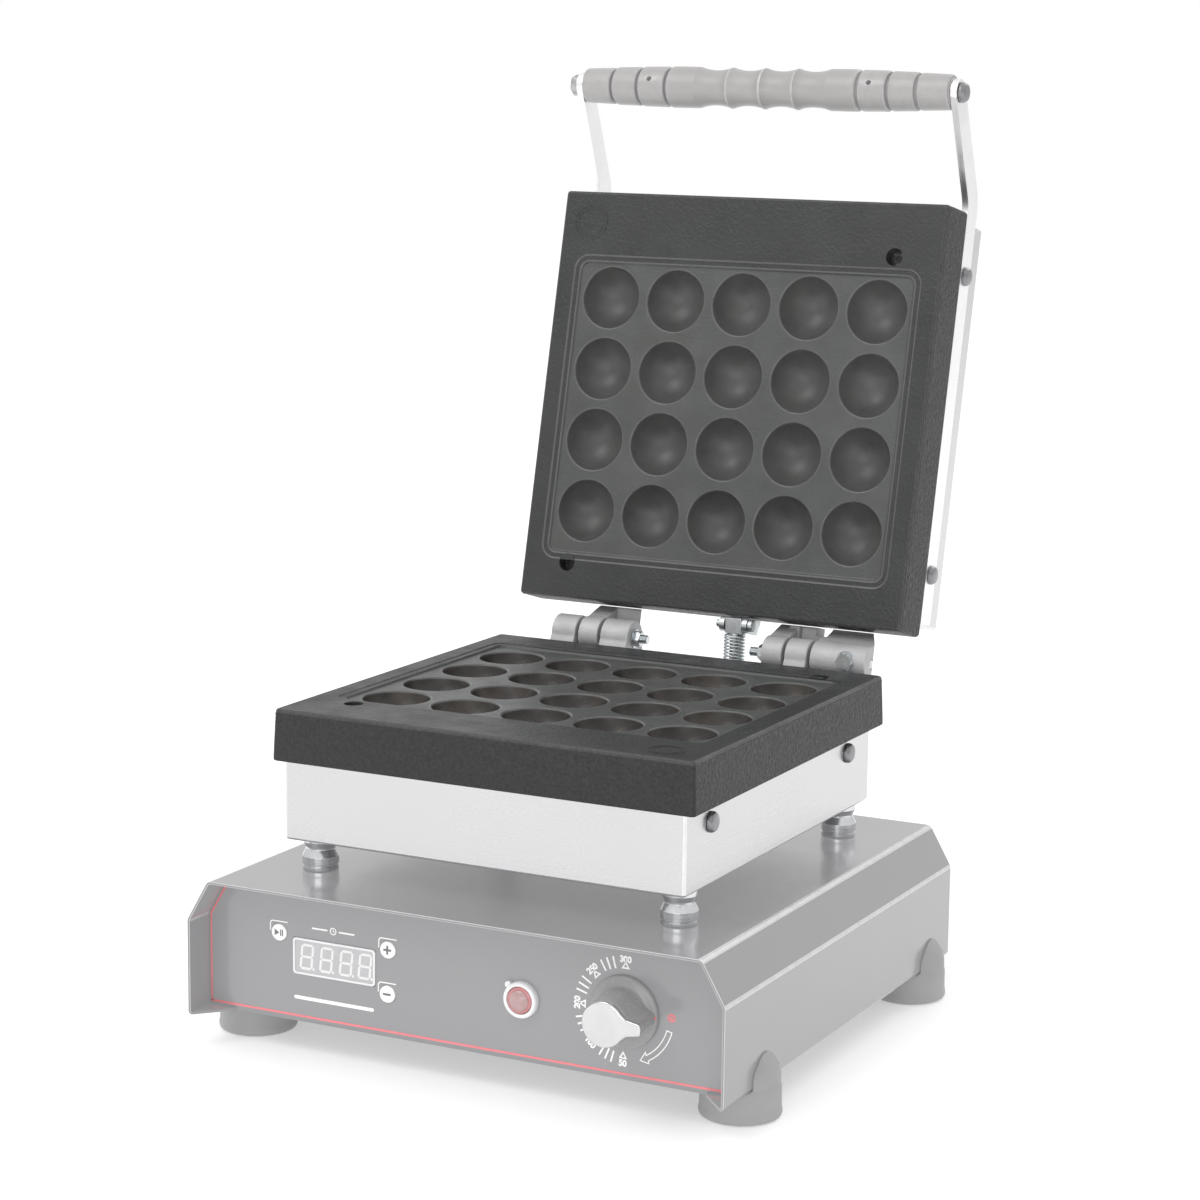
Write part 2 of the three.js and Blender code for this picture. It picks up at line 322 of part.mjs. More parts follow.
// ------------------------------------------------------------ control devices
put('thermostat_body', 'device_plastic', 0x55534f, box(KNOB_X - 17, KNOB_X + 17, PANEL_Y + SHEET + 0.4, PANEL_Y + 46, KNOB_Z - 17, KNOB_Z + 17));
put('thermostat_shaft', 'stainless_turned', STEEL, cylY(2.9, 2.2, PANEL_Y + SHEET, KNOB_X, KNOB_Z, 10));
const knob = () => {
  const skirt = latheY([[0, 18.9], [20, 18.9], [20, 17.2], [18.6, 15.9], [14.4, 14.6], [12.6, -4.2], [0, -4.2]], 24, KNOB_X, KNOB_Z);
  const fin = exY([[KNOB_X, KNOB_Z - 4.6], [KNOB_X + 18.4, KNOB_Z - 2.3], [KNOB_X + 18.4, KNOB_Z + 2.3], [KNOB_X, KNOB_Z + 4.6]], -4.2, 16.4);
  return sub(add(skirt, fin), cylY(3.05, 2, 20, KNOB_X, KNOB_Z, 10));
};
put('thermostat_knob', 'knob_plastic', DARK, knob());
const capPts = (() => {
  const p = [];
  for (let i = 0; i <= 18; i++) { const t = (38 + (360 - 76) * i / 18) * deg; p.push([KNOB_X + 12.4 * Math.cos(t), KNOB_Z + 12.4 * Math.sin(t)]); }
  p.push([KNOB_X + 13.4, KNOB_Z - 4.6], [KNOB_X + 20.6, KNOB_Z - 3], [KNOB_X + 21.8, KNOB_Z - 2.2], [KNOB_X + 21.8, KNOB_Z + 2.2], [KNOB_X + 20.6, KNOB_Z + 3], [KNOB_X + 13.4, KNOB_Z + 4.6]);
  return p;
})();
put('knob_cap', 'chrome_cap', CHROME, exY(capPts, -7, -4.5));
put('lamp_bezel', 'chrome_cap', CHROME, latheY([[0, 18.2], [7.7, 18.2], [7.7, 15.6], [8.8, 15.2], [10, 16.6], [10, 18.9], [6, 18.9], [6, 44], [0, 44]], 20, LAMP_X, LAMP_Z));
put('lamp_lens', 'lamp_red', 0xc4454a, latheY([[0, 17.9], [7.4, 17.9], [7.4, 15.4], [6, 14], [3.2, 13.2], [0, 12.9]], 16, LAMP_X, LAMP_Z));
put('display_window', 'display_lens', 0xb9b9bc, box(DISP[0] + 0.5, DISP[1] - 0.5, PANEL_Y - 1.3, PANEL_Y + SHEET + 0.2, DISP[2] + 0.5, DISP[3] - 0.5));
put('display_module', 'device_plastic', 0x55534f, box(-128, -36, PANEL_Y + SHEET + 2.9, PANEL_Y + SHEET + 14, 32, 80));
for (const [name, [x, z]] of Object.entries(BUTTONS))
  put(name, 'button_white', 0xe6e6e6, latheY([[0, 18.3], [4.7, 18.3], [4.9, 18.6], [4.9, 22.1], [6, 22.1], [6, 23], [0, 23]], 16, x, z));

export default group;
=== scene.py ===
"""Donut-ball maker, lid open: the looks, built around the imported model."""
import math
import bpy
import bmesh
from mathutils import Matrix, Vector
from mathutils.geometry import tessellate_polygon


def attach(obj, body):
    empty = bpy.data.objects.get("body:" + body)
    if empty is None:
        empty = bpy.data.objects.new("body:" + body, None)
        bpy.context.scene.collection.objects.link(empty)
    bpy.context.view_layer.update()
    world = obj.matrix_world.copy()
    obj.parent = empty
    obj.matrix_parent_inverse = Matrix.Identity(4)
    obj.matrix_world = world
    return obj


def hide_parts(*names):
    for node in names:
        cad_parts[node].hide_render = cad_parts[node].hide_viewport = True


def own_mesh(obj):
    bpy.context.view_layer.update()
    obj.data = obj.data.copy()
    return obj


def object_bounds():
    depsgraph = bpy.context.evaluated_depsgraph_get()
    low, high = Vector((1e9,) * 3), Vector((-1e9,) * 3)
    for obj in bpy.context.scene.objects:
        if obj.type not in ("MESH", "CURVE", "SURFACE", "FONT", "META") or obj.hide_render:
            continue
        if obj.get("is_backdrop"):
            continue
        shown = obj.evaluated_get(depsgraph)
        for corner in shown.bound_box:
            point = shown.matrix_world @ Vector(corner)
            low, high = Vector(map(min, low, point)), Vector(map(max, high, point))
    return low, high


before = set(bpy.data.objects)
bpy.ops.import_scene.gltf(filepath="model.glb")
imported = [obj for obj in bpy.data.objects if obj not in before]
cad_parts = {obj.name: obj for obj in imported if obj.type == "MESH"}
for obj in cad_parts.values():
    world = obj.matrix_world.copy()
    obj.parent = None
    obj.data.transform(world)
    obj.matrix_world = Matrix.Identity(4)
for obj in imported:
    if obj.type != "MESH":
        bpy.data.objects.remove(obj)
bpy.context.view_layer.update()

# ------------------------------------------------------------------ frame
# Shapes are drawn in millimetres with the base's front edges on y = 0, and
# brought to the row frame at the end. Lid shapes are drawn closed, then swung.
DEG = math.pi / 180
TO_ROW = Matrix.Diagonal((0.001, 0.001, 0.001, 1)) @ Matrix.Translation((0, -220.7, 0))
HY, HZ = 312.5, 192.6
LID_OPEN = 103.3
SWING = (Matrix.Translation((0, HY, HZ)) @ Matrix.Rotation(-LID_OPEN * DEG, 4, "X")
         @ Matrix.Translation((0, -HY, -HZ)))


# ---------------------------------------------------------------- 2-D shapes
def rnd(pts, r=1.0, seg=4, closed=True):
    """Corners of a polyline rounded; a point may carry its own radius."""
    out, n = [], len(pts)
    for i, p in enumerate(pts):
        ri = p[2] if len(p) > 2 else r
        b = Vector(p[:2])
        if ri <= 0 or (not closed and i in (0, n - 1)):
            out.append((b.x, b.y))
            continue
        u, w = Vector(pts[i - 1][:2]) - b, Vector(pts[(i + 1) % n][:2]) - b
        lu, lw = u.length, w.length
        u.normalize(), w.normalize()
        ang = math.acos(max(-1, min(1, u.dot(w))))
        if ang > math.pi - 0.01:
            out.append((b.x, b.y))
            continue
        t = min(ri / math.tan(ang / 2), lu * 0.49, lw * 0.49)
        rr = t * math.tan(ang / 2)
        c = b + (u + w).normalized() * (rr / math.sin(ang / 2))
        s, e = b + u * t - c, b + w * t - c
        a0, a1 = math.atan2(s.y, s.x), math.atan2(e.y, e.x)
        da = (a1 - a0 + math.pi) % (2 * math.pi) - math.pi
        for k in range(seg + 1):
            a = a0 + da * k / seg
            out.append((c.x + rr * math.cos(a), c.y + rr * math.sin(a)))
    return out


def circ(cx, cy, r, n=48, off=0.0):
    return [(cx + r * math.cos(2 * math.pi * (i + off) / n), cy + r * math.sin(2 * math.pi * (i + off) / n)) for i in range(n)]


def rrect(x0, x1, y0, y1, r, seg=5):
    return rnd([(x0, y0), (x1, y0), (x1, y1), (x0, y1)], r, seg)


def area2(p):
    return sum(p[i - 1][0] * p[i][1] - p[i][0] * p[i - 1][1] for i in range(len(p))) / 2


def inset(poly, d):
    """A closed polygon moved inwards by d, vertex by vertex."""
    s, n, out = (1 if area2(poly) > 0 else -1), len(poly), []
    for i in range(n):
        a, b, c = Vector(poly[i - 1]), Vector(poly[i]), Vector(poly[(i + 1) % n])
        e, f = b - a, c - b
        if e.length < 1e-9 or f.length < 1e-9:
            out.append(tuple(b))
            continue
        e.normalize(), f.normalize()
        m = Vector((-e.y - f.y, e.x + f.x)) * s
        if m.length < 1e-6:
            m = Vector((-e.y, e.x)) * s
        m.normalize()
        k = max(0.35, m.dot(Vector((-e.y, e.x)) * s))
        out.append(tuple(b + m * (d / k)))
    return out


def stroke(path, w, closed=False):
    """The outline polygons of a line of width w along path."""
    if closed:
        return [inset(path, w / 2), inset(path, -w / 2)]
    n, left, right = len(path), [], []
    for i in range(n):
        b = Vector(path[i])
        e = (b - Vector(path[i - 1])).normalized() if i else (Vector(path[1]) - b).normalized()
        f = (Vector(path[i + 1]) - b).normalized() if i < n - 1 else e
        m = Vector((-e.y - f.y, e.x + f.x)).normalized()
        k = max(0.35, m.dot(Vector((-e.y, e.x))))
        left.append(tuple(b + m * (w / 2 / k)))
        right.append(tuple(b - m * (w / 2 / k)))
    return [left + right[::-1]]


def arc2(cx, cy, r, a0, a1, n):
    return [(cx + r * math.cos((a0 + (a1 - a0) * i / n) * DEG), cy + r * math.sin((a0 + (a1 - a0) * i / n) * DEG)) for i in range(n + 1)]


# ---------------------------------------------------------------- solids
def to3(axis, a, b, h):
    return {"Z": (a, b, h), "Y": (a, h, b), "X": (h, a, b)}[axis]


def prism(outline, h0, h1, axis="Z", holes=()):
    """Closed prism: outline is (x, y) for Z, (x, z) for Y and (y, z) for X."""
    loops = [list(outline)] + [list(h) for h in holes]
    v, f, base = [], [], 0
    spans = []
    for lp in loops:
        spans.append((base, len(lp)))
        base += len(lp)
    total = base
    flat = [p for lp in loops for p in lp]
    v = [to3(axis, p[0], p[1], h0) for p in flat] + [to3(axis, p[0], p[1], h1) for p in flat]
    if holes:
        tris = tessellate_polygon([[Vector((p[0], p[1], 0)) for p in lp] for lp in loops])
        for t in tris:
            f.append(tuple(t))
            f.append(tuple(i + total for i in reversed(t)))
    else:
        f.append(tuple(range(total)))
        f.append(tuple(reversed(range(total, 2 * total))))
    for s, n in spans:
        for i in range(n):
            j = (i + 1) % n
            f.append((s + i, s + j, s + j + total, s + i + total))
    return v, f


def loft(rings, cap0=True, cap1=True):
    """Rings of 3-D points with equal counts, joined by quads."""
    n, v, f = len(rings[0]), [], []
    for r in rings:
        v += [tuple(p) for p in r]
    for k in range(len(rings) - 1):
        for i in range(n):
            j = (i + 1) % n
            f.append((k * n + i, k * n + j, (k + 1) * n + j, (k + 1) * n + i))
    if cap0:
        f.append(tuple(reversed(range(n))))
    if cap1:
        f.append(tuple(range((len(rings) - 1) * n, len(rings) * n)))
    return v, f


def lathe(prof, n=64, axis="Z", c=(0, 0), closed=False):
    """Surface of revolution of [(r, h)]; r = 0 makes a pole."""
    v, f, rings = [], [], []
    for r, h in prof:
        if r < 1e-6:
            rings.append([len(v)])
            v.append(to3(axis, c[0], c[1], h))
        else:
            rings.append(list(range(len(v), len(v) + n)))
            v += [to3(axis, c[0] + r * math.cos(2 * math.pi * i / n), c[1] + r * math.sin(2 * math.pi * i / n), h) for i in range(n)]
    pairs = list(zip(rings, rings[1:])) + ([(rings[-1], rings[0])] if closed else [])
    for a, b in pairs:
        if len(a) == 1 and len(b) == 1:
            continue
        for i in range(n):
            j = (i + 1) % n
            if len(a) == 1:
                f.append((a[0], b[j], b[i]))
            elif len(b) == 1:
                f.append((a[i], a[j], b[0]))
            else:
                f.append((a[i], a[j], b[j], b[i]))
    return v, f


def tube(path, r, n=10):
    """Round wire along 3-D points, ends closed."""
    P = [Vector(p) for p in path]
    rings, up = [], None
    for i, p in enumerate(P):
        t = (P[min(i + 1, len(P) - 1)] - P[max(i - 1, 0)]).normalized()
        if up is None:
            up = t.orthogonal().normalized()
        up = (up - t * up.dot(t)).normalized()
        side = t.cross(up)
        rings.append([p + (up * math.cos(2 * math.pi * k / n) + side * math.sin(2 * math.pi * k / n)) * r for k in range(n)])
    return loft(rings)


def moved(part, m):
    return [tuple(m @ Vector(p)) for p in part[0]], part[1]


def make(name, *parts, merge=1e-4):
    """One object from closed shells."""
    v, f = [], []
    for pv, pf in parts:
        b = len(v)
        v += list(pv)
        f += [tuple(i + b for i in q) for q in pf]
    me = bpy.data.meshes.new(name)
    me.from_pydata(v, [], f)
    bm = bmesh.new()
    bm.from_mesh(me)
    bmesh.ops.remove_doubles(bm, verts=bm.verts, dist=merge)
    bmesh.ops.dissolve_degenerate(bm, edges=bm.edges, dist=merge)
    bmesh.ops.recalc_face_normals(bm, faces=bm.faces)
    bm.to_mesh(me)
    bm.free()
    o = bpy.data.objects.new(name, me)
    bpy.context.scene.collection.objects.link(o)
    return o


def bake(o):
    bpy.context.view_layer.update()
    me = bpy.data.meshes.new_from_object(o.evaluated_get(bpy.context.evaluated_depsgraph_get()))
    old = o.data
    o.modifiers.clear()
    o.data = me
    me.name = o.name
    bpy.data.meshes.remove(old)
    return o


def bevel(o, w, seg=2, angle=30, mat=0):
    m = o.modifiers.new("bevel", "BEVEL")
    if mat:
        while len(o.data.materials) <= mat:
            o.data.materials.append(None)
        m.material = mat
    m.width, m.segments, m.limit_method, m.angle_limit = w, seg, "ANGLE", angle * DEG
    m.use_clamp_overlap = True
    m.harden_normals = False
    return bake(o)


def boolean(o, tool, op="DIFFERENCE"):
    m = o.modifiers.new("cut", "BOOLEAN")
    m.object, m.operation, m.solver = tool, op, "EXACT"
    bake(o)
    bpy.data.objects.remove(tool)
    return o


def voxel(o, size, smooth=6, factor=0.5):
    """Cast or moulded skin: shells melted into one and softened."""
    m = o.modifiers.new("remesh", "REMESH")
    m.mode, m.voxel_size, m.adaptivity = "VOXEL", size, 0.0
    if smooth:
        s = o.modifiers.new("smooth", "SMOOTH")
        s.iterations, s.factor = smooth, factor
    return bake(o)


def done(o, body, material, nodes=(), lid=False, angle=35, weighted=True):
    """Brings a piece to the row frame, shades it and hangs it on its body."""
    o.data.transform((TO_ROW @ SWING) if lid else TO_ROW)
    me = o.data
    me.polygons.foreach_set("use_smooth", [True] * len(me.polygons))
    me.set_sharp_from_angle(angle=angle * DEG)
    if weighted:
        m = o.modifiers.new("normals", "WEIGHTED_NORMAL")
        m.keep_sharp, m.weight = True, 60
        bake(o)
        me = o.data
    mats = material if isinstance(material, (list, tuple)) else [material]
    slots = [q.material_index for q in me.polygons]
    me.materials.clear()
    for k in mats:
        me.materials.append(k)
    me.polygons.foreach_set("material_index", slots if len(mats) > 1 else [0] * len(slots))
    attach(o, body)
    if nodes:
        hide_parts(*([nodes] if isinstance(nodes, str) else nodes))
    return o


# ---------------------------------------------------------------- materials
def lin(v):
    v /= 255
    return v / 12.92 if v <= 0.04045 else ((v + 0.055) / 1.055) ** 2.4


def rgb(r, g=None, b=None):
    g = r if g is None else g
    b = r if b is None else b
    return (lin(r), lin(g), lin(b), 1)


def material(name, color, rough=0.5, metal=0.0, var=0.06, var_scale=25.0, tint=None, rough_var=0.08, rough_scale=60.0,
             bumps=(), streak=None, edge=None, coat=0.0, coat_rough=0.1, spec=0.5, crease_shade=0.0, aniso=0.0, painted_glow=0.0):
    """Procedural finish. bumps: (scale per metre, strength, height in metres, detail) or with a 3-vector scale.
    streak: (scale vector, colour share, roughness share) for brushed or turned marks. edge: (colour, share, width)."""
    m = bpy.data.materials.new(name)
    m.use_nodes = True
    nt = m.node_tree
    N, L = nt.nodes, nt.links
    N.clear()
    out = N.new("ShaderNodeOutputMaterial")
    b = N.new("ShaderNodeBsdfPrincipled")
    L.new(b.outputs[0], out.inputs[0])
    b.inputs["Metallic"].default_value = metal
    b.inputs["Specular IOR Level"].default_value = spec
    b.inputs["Coat Weight"].default_value = coat
    b.inputs["Coat Roughness"].default_value = coat_rough
    b.inputs["Anisotropic"].default_value = aniso
    b.inputs["Emission Color"].default_value = (1, 1, 1.01, 1)
    b.inputs["Emission Strength"].default_value = painted_glow      # painted glow: emission lifts the shade and flattens contrast, standing in for light
    tc = N.new("ShaderNodeTexCoord")

    def noise(scale, detail=4.0, rough_=0.55, vec=None):
        n = N.new("ShaderNodeTexNoise")
        n.inputs["Detail"].default_value = detail
        n.inputs["Roughness"].default_value = rough_
        if isinstance(scale, (tuple, list)):
            mp = N.new("ShaderNodeMapping")
            mp.inputs["Scale"].default_value = scale
            L.new(tc.outputs["Object"], mp.inputs[0])
            L.new(mp.outputs[0], n.inputs["Vector"])
            n.inputs["Scale"].default_value = 1.0
        else:
            L.new(tc.outputs["Object"], n.inputs["Vector"])
            n.inputs["Scale"].default_value = scale
        return n.outputs[0]

    def rng(src, a, c, lo, hi):
        r = N.new("ShaderNodeMapRange")
        r.inputs[1].default_value, r.inputs[2].default_value = a, c
        r.inputs[3].default_value, r.inputs[4].default_value = lo, hi
        L.new(src, r.inputs[0])
        return r.outputs[0]

    def mix(fac, ca, cb, mode="MIX"):
        x = N.new("ShaderNodeMix")
        x.data_type, x.blend_type = "RGBA", mode
        for s, k in ((fac, 0), (ca, 6), (cb, 7)):
            if hasattr(s, "is_linked") or hasattr(s, "links"):
                L.new(s, x.inputs[k])
            else:
                x.inputs[k].default_value = s
        return x.outputs[2]

    base = tuple(color)
    dark = tuple(c * (1 - var) for c in base[:3]) + (1,)
    lite = tuple(min(1, c * (1 + var)) for c in base[:3]) + (1,)
    col = mix(rng(noise(var_scale), 0.3, 0.7, 0, 1), dark, lite)
    if tint:
        tcol, tscale, tshare = tint
        col = mix(rng(noise(tscale, 3), 0.5, 0.75, 0, tshare), col, tuple(tcol))
    rgh = rng(noise(rough_scale), 0.3, 0.7, rough - rough_var, rough + rough_var)
    if streak:
        sc, cs, rs = streak
        sn = noise(sc, 3, 0.6)
        sd = tuple(max(0, 1 - cs) for _ in range(3)) + (1,)
        col = mix(1.0, col, mix(rng(sn, 0.3, 0.7, 0, 1), sd, (1, 1, 1, 1)), "MULTIPLY")
        add = N.new("ShaderNodeMath")
        add.operation, add.use_clamp = "ADD", True
        L.new(rgh, add.inputs[0])
        L.new(rng(sn, 0.25, 0.75, -rs, rs), add.inputs[1])
        rgh = add.outputs[0]
    # painted highlight: edge lightens the colour on sharp edges found by pointiness, broken up by noise
    if edge:
        ecol, share, width = edge
        geo = N.new("ShaderNodeNewGeometry")
        edge_highlight = rng(geo.outputs["Pointiness"], 0.5 + width * 0.3, 0.5 + width, 0, share)
        br = N.new("ShaderNodeMath")
        br.operation = "MULTIPLY"
        L.new(edge_highlight, br.inputs[0])
        L.new(rng(noise(220.0, 3), 0.35, 0.6, 0.25, 1.0), br.inputs[1])
        col = mix(br.outputs[0], col, tuple(ecol))
    # painted shade: the colour is darkened in creases and hollows found by pointiness
    if crease_shade:
        geo = N.new("ShaderNodeNewGeometry")
        crease_shade_mask = rng(geo.outputs["Pointiness"], 0.5, 0.46, 0, crease_shade)
        col = mix(crease_shade_mask, col, tuple(c * 0.45 for c in base[:3]) + (1,))
    L.new(col, b.inputs["Base Color"])
    L.new(rgh, b.inputs["Roughness"])
    nrm = None
    for bp in bumps:
        scale, strength, height = bp[:3]
        bn = N.new("ShaderNodeBump")
        bn.inputs["Strength"].default_value = strength
        bn.inputs["Distance"].default_value = height
        L.new(noise(scale, bp[3] if len(bp) > 3 else 3.0), bn.inputs["Height"])
        if nrm:
            L.new(nrm, bn.inputs["Normal"])
        nrm = bn.outputs[0]
    if nrm:
        L.new(nrm, b.inputs["Normal"])
    return m


# painted glow: the emission set on the enamel, film, grip, knob and rubber finishes below lifts their shade like light
ENAMEL = material("enamel_grey", rgb(92, 92, 94), 0.20, painted_glow=0.19, var=0.025, var_scale=6, rough_var=0.05, rough_scale=30,
                  bumps=((700.0, 0.10, 0.00012, 2.0), (60.0, 0.05, 0.0006, 1.0)), coat=0.5, coat_rough=0.12)
# painted highlight: a lighter enamel for the shell's bevels and folds
ENAMEL_HIGHLIGHT = material("enamel_highlight", rgb(204, 204, 205), 0.26, var=0.06, var_scale=160, rough_var=0.06, bumps=((700.0, 0.12, 0.00012, 2.0),))
ENAMEL_BACK = material("enamel_back", rgb(126, 126, 128), 0.36, painted_glow=0.10, var=0.03, bumps=((700.0, 0.12, 0.00015, 2.0),))
FILM = material("overlay_film", rgb(130, 130, 132), 0.16, painted_glow=0.10, var=0.015, var_scale=6, rough_var=0.04, bumps=((1300.0, 0.05, 0.00006, 2.0), (40.0, 0.04, 0.0006, 1.0)), coat=0.3, coat_rough=0.1)
PRINT_WHITE = material("print_white", rgb(250), 0.5, var=0.01, var_scale=80, bumps=((3000.0, 0.1, 0.00003, 2.0),))
PRINT_RED = material("print_red", rgb(236, 132, 138), 0.5, var=0.04, var_scale=120, bumps=((3000.0, 0.1, 0.00003, 2.0),))
STEEL = material("brushed_steel", rgb(207, 207, 208), 0.26, 1.0, var=0.02, var_scale=5, rough_var=0.04, rough_scale=6,
                 streak=((5.0, 5.0, 700.0), 0.022, 0.035), bumps=(((5.0, 5.0, 1000.0), 0.03, 0.00004, 2.0), (9.0, 0.07, 0.0007, 1.0)))
# painted highlight: a lighter steel for the trays' corners and folds
STEEL_HIGHLIGHT = material("steel_highlight", rgb(224, 224, 225), 0.26, 1.0, var=0.04, var_scale=200, rough_var=0.05, bumps=((1500.0, 0.1, 0.00004, 2.0),))
STEEL_ARM = material("arm_steel", rgb(247, 247, 248), 0.36, 1.0, var=0.02, var_scale=12, rough_var=0.05,
                     streak=((900.0, 25.0, 25.0), 0.06, 0.06), bumps=(((1200.0, 30.0, 30.0), 0.10, 0.00005, 2.0),))
TURNED = material("turned_steel", rgb(222, 223, 225), 0.2, 1.0, var=0.03, var_scale=120, rough_var=0.06,
                  streak=((90.0, 90.0, 2200.0), 0.12, 0.10), bumps=(((50.0, 50.0, 2600.0), 0.15, 0.00004, 2.0),), edge=(rgb(250), 0.3, 0.08))
BOLT = material("bolt_steel", rgb(142, 142, 144), 0.34, 0.85, var=0.05, var_scale=300, rough_var=0.08,
                bumps=((1100.0, 0.15, 0.0001, 3.0),), edge=(rgb(222), 0.6, 0.07), crease_shade=0.4)
CAST_SIDE = material("cast_side", rgb(34, 33, 35), 0.48, var=0.5, var_scale=560, rough_var=0.12, rough_scale=500,
                     bumps=((400.0, 1.0, 0.0013, 4.0), (1100.0, 0.8, 0.0004, 2.0), (90.0, 0.25, 0.0008, 2.0)))
# painted highlight: a lighter cast for the plates' edges and steps
CAST_HIGHLIGHT = material("cast_highlight", rgb(60, 60, 61), 0.42, var=0.3, var_scale=420, rough_var=0.1, bumps=((500.0, 0.8, 0.0005, 3.0),))
CAST_FACE = material("cast_face", rgb(46, 47, 48), 0.42, var=0.2, var_scale=34, rough_var=0.08, rough_scale=60,
                     tint=(rgb(56, 55, 52), 14.0, 0.4), bumps=((480.0, 0.8, 0.0007, 3.0), (1500.0, 0.4, 0.0002, 2.0), (50.0, 0.15, 0.0008, 2.0)))
# painted light: the sunk field is a lighter copy of the black coating; its tint is random tone
CAST_FIELD = material("cast_field", rgb(76, 77, 77), 0.38, var=0.16, var_scale=42, rough_var=0.07, rough_scale=70,
                      tint=(rgb(80, 77, 71), 18.0, 0.3), bumps=((560.0, 0.6, 0.0005, 3.0), (60.0, 0.15, 0.0006, 2.0)))
# painted highlight: a lighter cast for the bowls' rims and the upper plate's lip
CAST_RIM_HIGHLIGHT = material("cast_rim_highlight", rgb(90, 90, 89), 0.30, var=0.1, var_scale=180, rough_var=0.05, bumps=((600.0, 0.2, 0.00015, 3.0),))
# painted light: the upper plate's bowls are a lighter copy of the black coating; their tint is random tone
CAST_BOWL_UP = material("cast_bowl_upper", rgb(84, 84, 84), 0.40, var=0.14, var_scale=70, rough_var=0.07, rough_scale=120,
                        tint=(rgb(92, 90, 86), 45.0, 0.4), bumps=((650.0, 0.28, 0.00025, 3.0), (110.0, 0.12, 0.0003, 2.0)))
CAST_BOWL_LOW = material("cast_bowl_lower", rgb(52, 49, 46), 0.36, var=0.22, var_scale=80, rough_var=0.08, rough_scale=120,
                         tint=(rgb(92, 80, 69), 40.0, 0.5), bumps=((650.0, 0.5, 0.0004, 3.0), (110.0, 0.15, 0.0004, 2.0)))
HINGE = material("hinge_casting", rgb(186, 186, 187), 0.5, 0.25, var=0.06, var_scale=90, rough_var=0.1,
                 bumps=((520.0, 0.5, 0.00035, 4.0), (1800.0, 0.3, 0.0001, 2.0)), edge=(rgb(214), 0.5, 0.05), crease_shade=0.45)
ZINC = material("zinc_plated", rgb(190, 196, 199), 0.3, 0.9, var=0.06, var_scale=220, tint=(rgb(206, 198, 170), 150.0, 0.3), rough_var=0.08,
                bumps=((1600.0, 0.15, 0.00006, 3.0),), edge=(rgb(235), 0.5, 0.06), crease_shade=0.4)
SPRING = material("spring_wire", rgb(206, 211, 213), 0.26, 0.95, var=0.05, var_scale=400, rough_var=0.06,
                  bumps=((2600.0, 0.1, 0.00004, 2.0),), crease_shade=0.3)
GRIP = material("grip_plastic", rgb(148, 146, 145), 0.40, painted_glow=0.09, var=0.03, var_scale=30, rough_var=0.05, rough_scale=120,
                bumps=((900.0, 0.06, 0.00012, 3.0),), edge=(rgb(205), 0.5, 0.05), crease_shade=0.5, coat=0.2, coat_rough=0.25)
KNOB = material("knob_plastic", rgb(138, 138, 139), 0.26, painted_glow=0.06, var=0.03, var_scale=60, rough_var=0.06,
                bumps=((1900.0, 0.07, 0.00006, 2.0),), edge=(rgb(185), 0.5, 0.06), crease_shade=0.4, coat=0.25, coat_rough=0.2)
CHROME = material("satin_chrome", rgb(214, 214, 215), 0.16, 1.0, var=0.04, var_scale=90, rough_var=0.05,
                  bumps=((1800.0, 0.08, 0.00004, 2.0), (55.0, 0.5, 0.0012, 1.0)))
BEZEL = material("bezel_white", rgb(236, 236, 237), 0.3, var=0.02, var_scale=90, rough_var=0.05, bumps=((1500.0, 0.08, 0.00005, 2.0),), coat=0.4, coat_rough=0.1)
RUBBER = material("foot_rubber", rgb(148, 148, 149), 0.62, painted_glow=0.06, var=0.05, var_scale=50, rough_var=0.08,
                  bumps=((1300.0, 0.22, 0.00014, 3.0),), edge=(rgb(180), 0.4, 0.06), crease_shade=0.3)
LENS_RING = material("lamp_lens_ring", rgb(196, 132, 134), 0.2, var=0.10, var_scale=260, rough_var=0.05, bumps=((700.0, 0.12, 0.0002, 1.0),), coat=0.5, coat_rough=0.08)
LENS = material("lamp_lens", rgb(184, 152, 152), 0.16, var=0.10, var_scale=260, tint=(rgb(200, 112, 112), 90.0, 0.45), rough_var=0.05,
                bumps=((420.0, 0.12, 0.0003, 1.0),), coat=0.6, coat_rough=0.06)
PANE = material("display_pane", rgb(188, 188, 190), 0.25, var=0.03, var_scale=60, rough_var=0.05, bumps=((1900.0, 0.05, 0.00005, 2.0),), coat=0.4, coat_rough=0.12)
PANE_FRAME = material("display_frame", rgb(232, 232, 233), 0.35, var=0.02, var_scale=90, rough_var=0.05, bumps=((1900.0, 0.06, 0.00005, 2.0),), edge=(rgb(252), 0.5, 0.06))
DIGIT = material("display_digit", rgb(232, 231, 231), 0.4, var=0.02, var_scale=200, bumps=((2600.0, 0.08, 0.00003, 2.0),))
KEY = material("key_white", rgb(248), 0.42, var=0.02, var_scale=120, rough_var=0.06, bumps=((2200.0, 0.08, 0.00004, 2.0),))
ICON = material("icon_grey", rgb(120, 120, 122), 0.5, var=0.04, var_scale=300, bumps=((2600.0, 0.08, 0.00003, 2.0),))
SHEATH = material("element_sheath", rgb(108, 104, 96), 0.45, 0.7, var=0.15, var_scale=70, rough_var=0.1, bumps=((900.0, 0.2, 0.0001, 3.0),))
DEVICE = material("device_plastic", rgb(86, 84, 80), 0.5, var=0.08, var_scale=90, rough_var=0.08, bumps=((1400.0, 0.15, 0.0001, 3.0),))

CAD_FINISH = {"front_panel": ENAMEL_BACK, "rear_panel": ENAMEL, "base_plate": ENAMEL_BACK, "thermostat_body": DEVICE, "display_module": DEVICE,
              "thermostat_shaft": TURNED, "lower_heating_element": SHEATH, "upper_heating_element": SHEATH}
for node, finish in CAD_FINISH.items():
    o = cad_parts[node]
    if not o.material_slots:
        o.data.materials.append(finish)
    for s in o.material_slots:
        s.material = finish

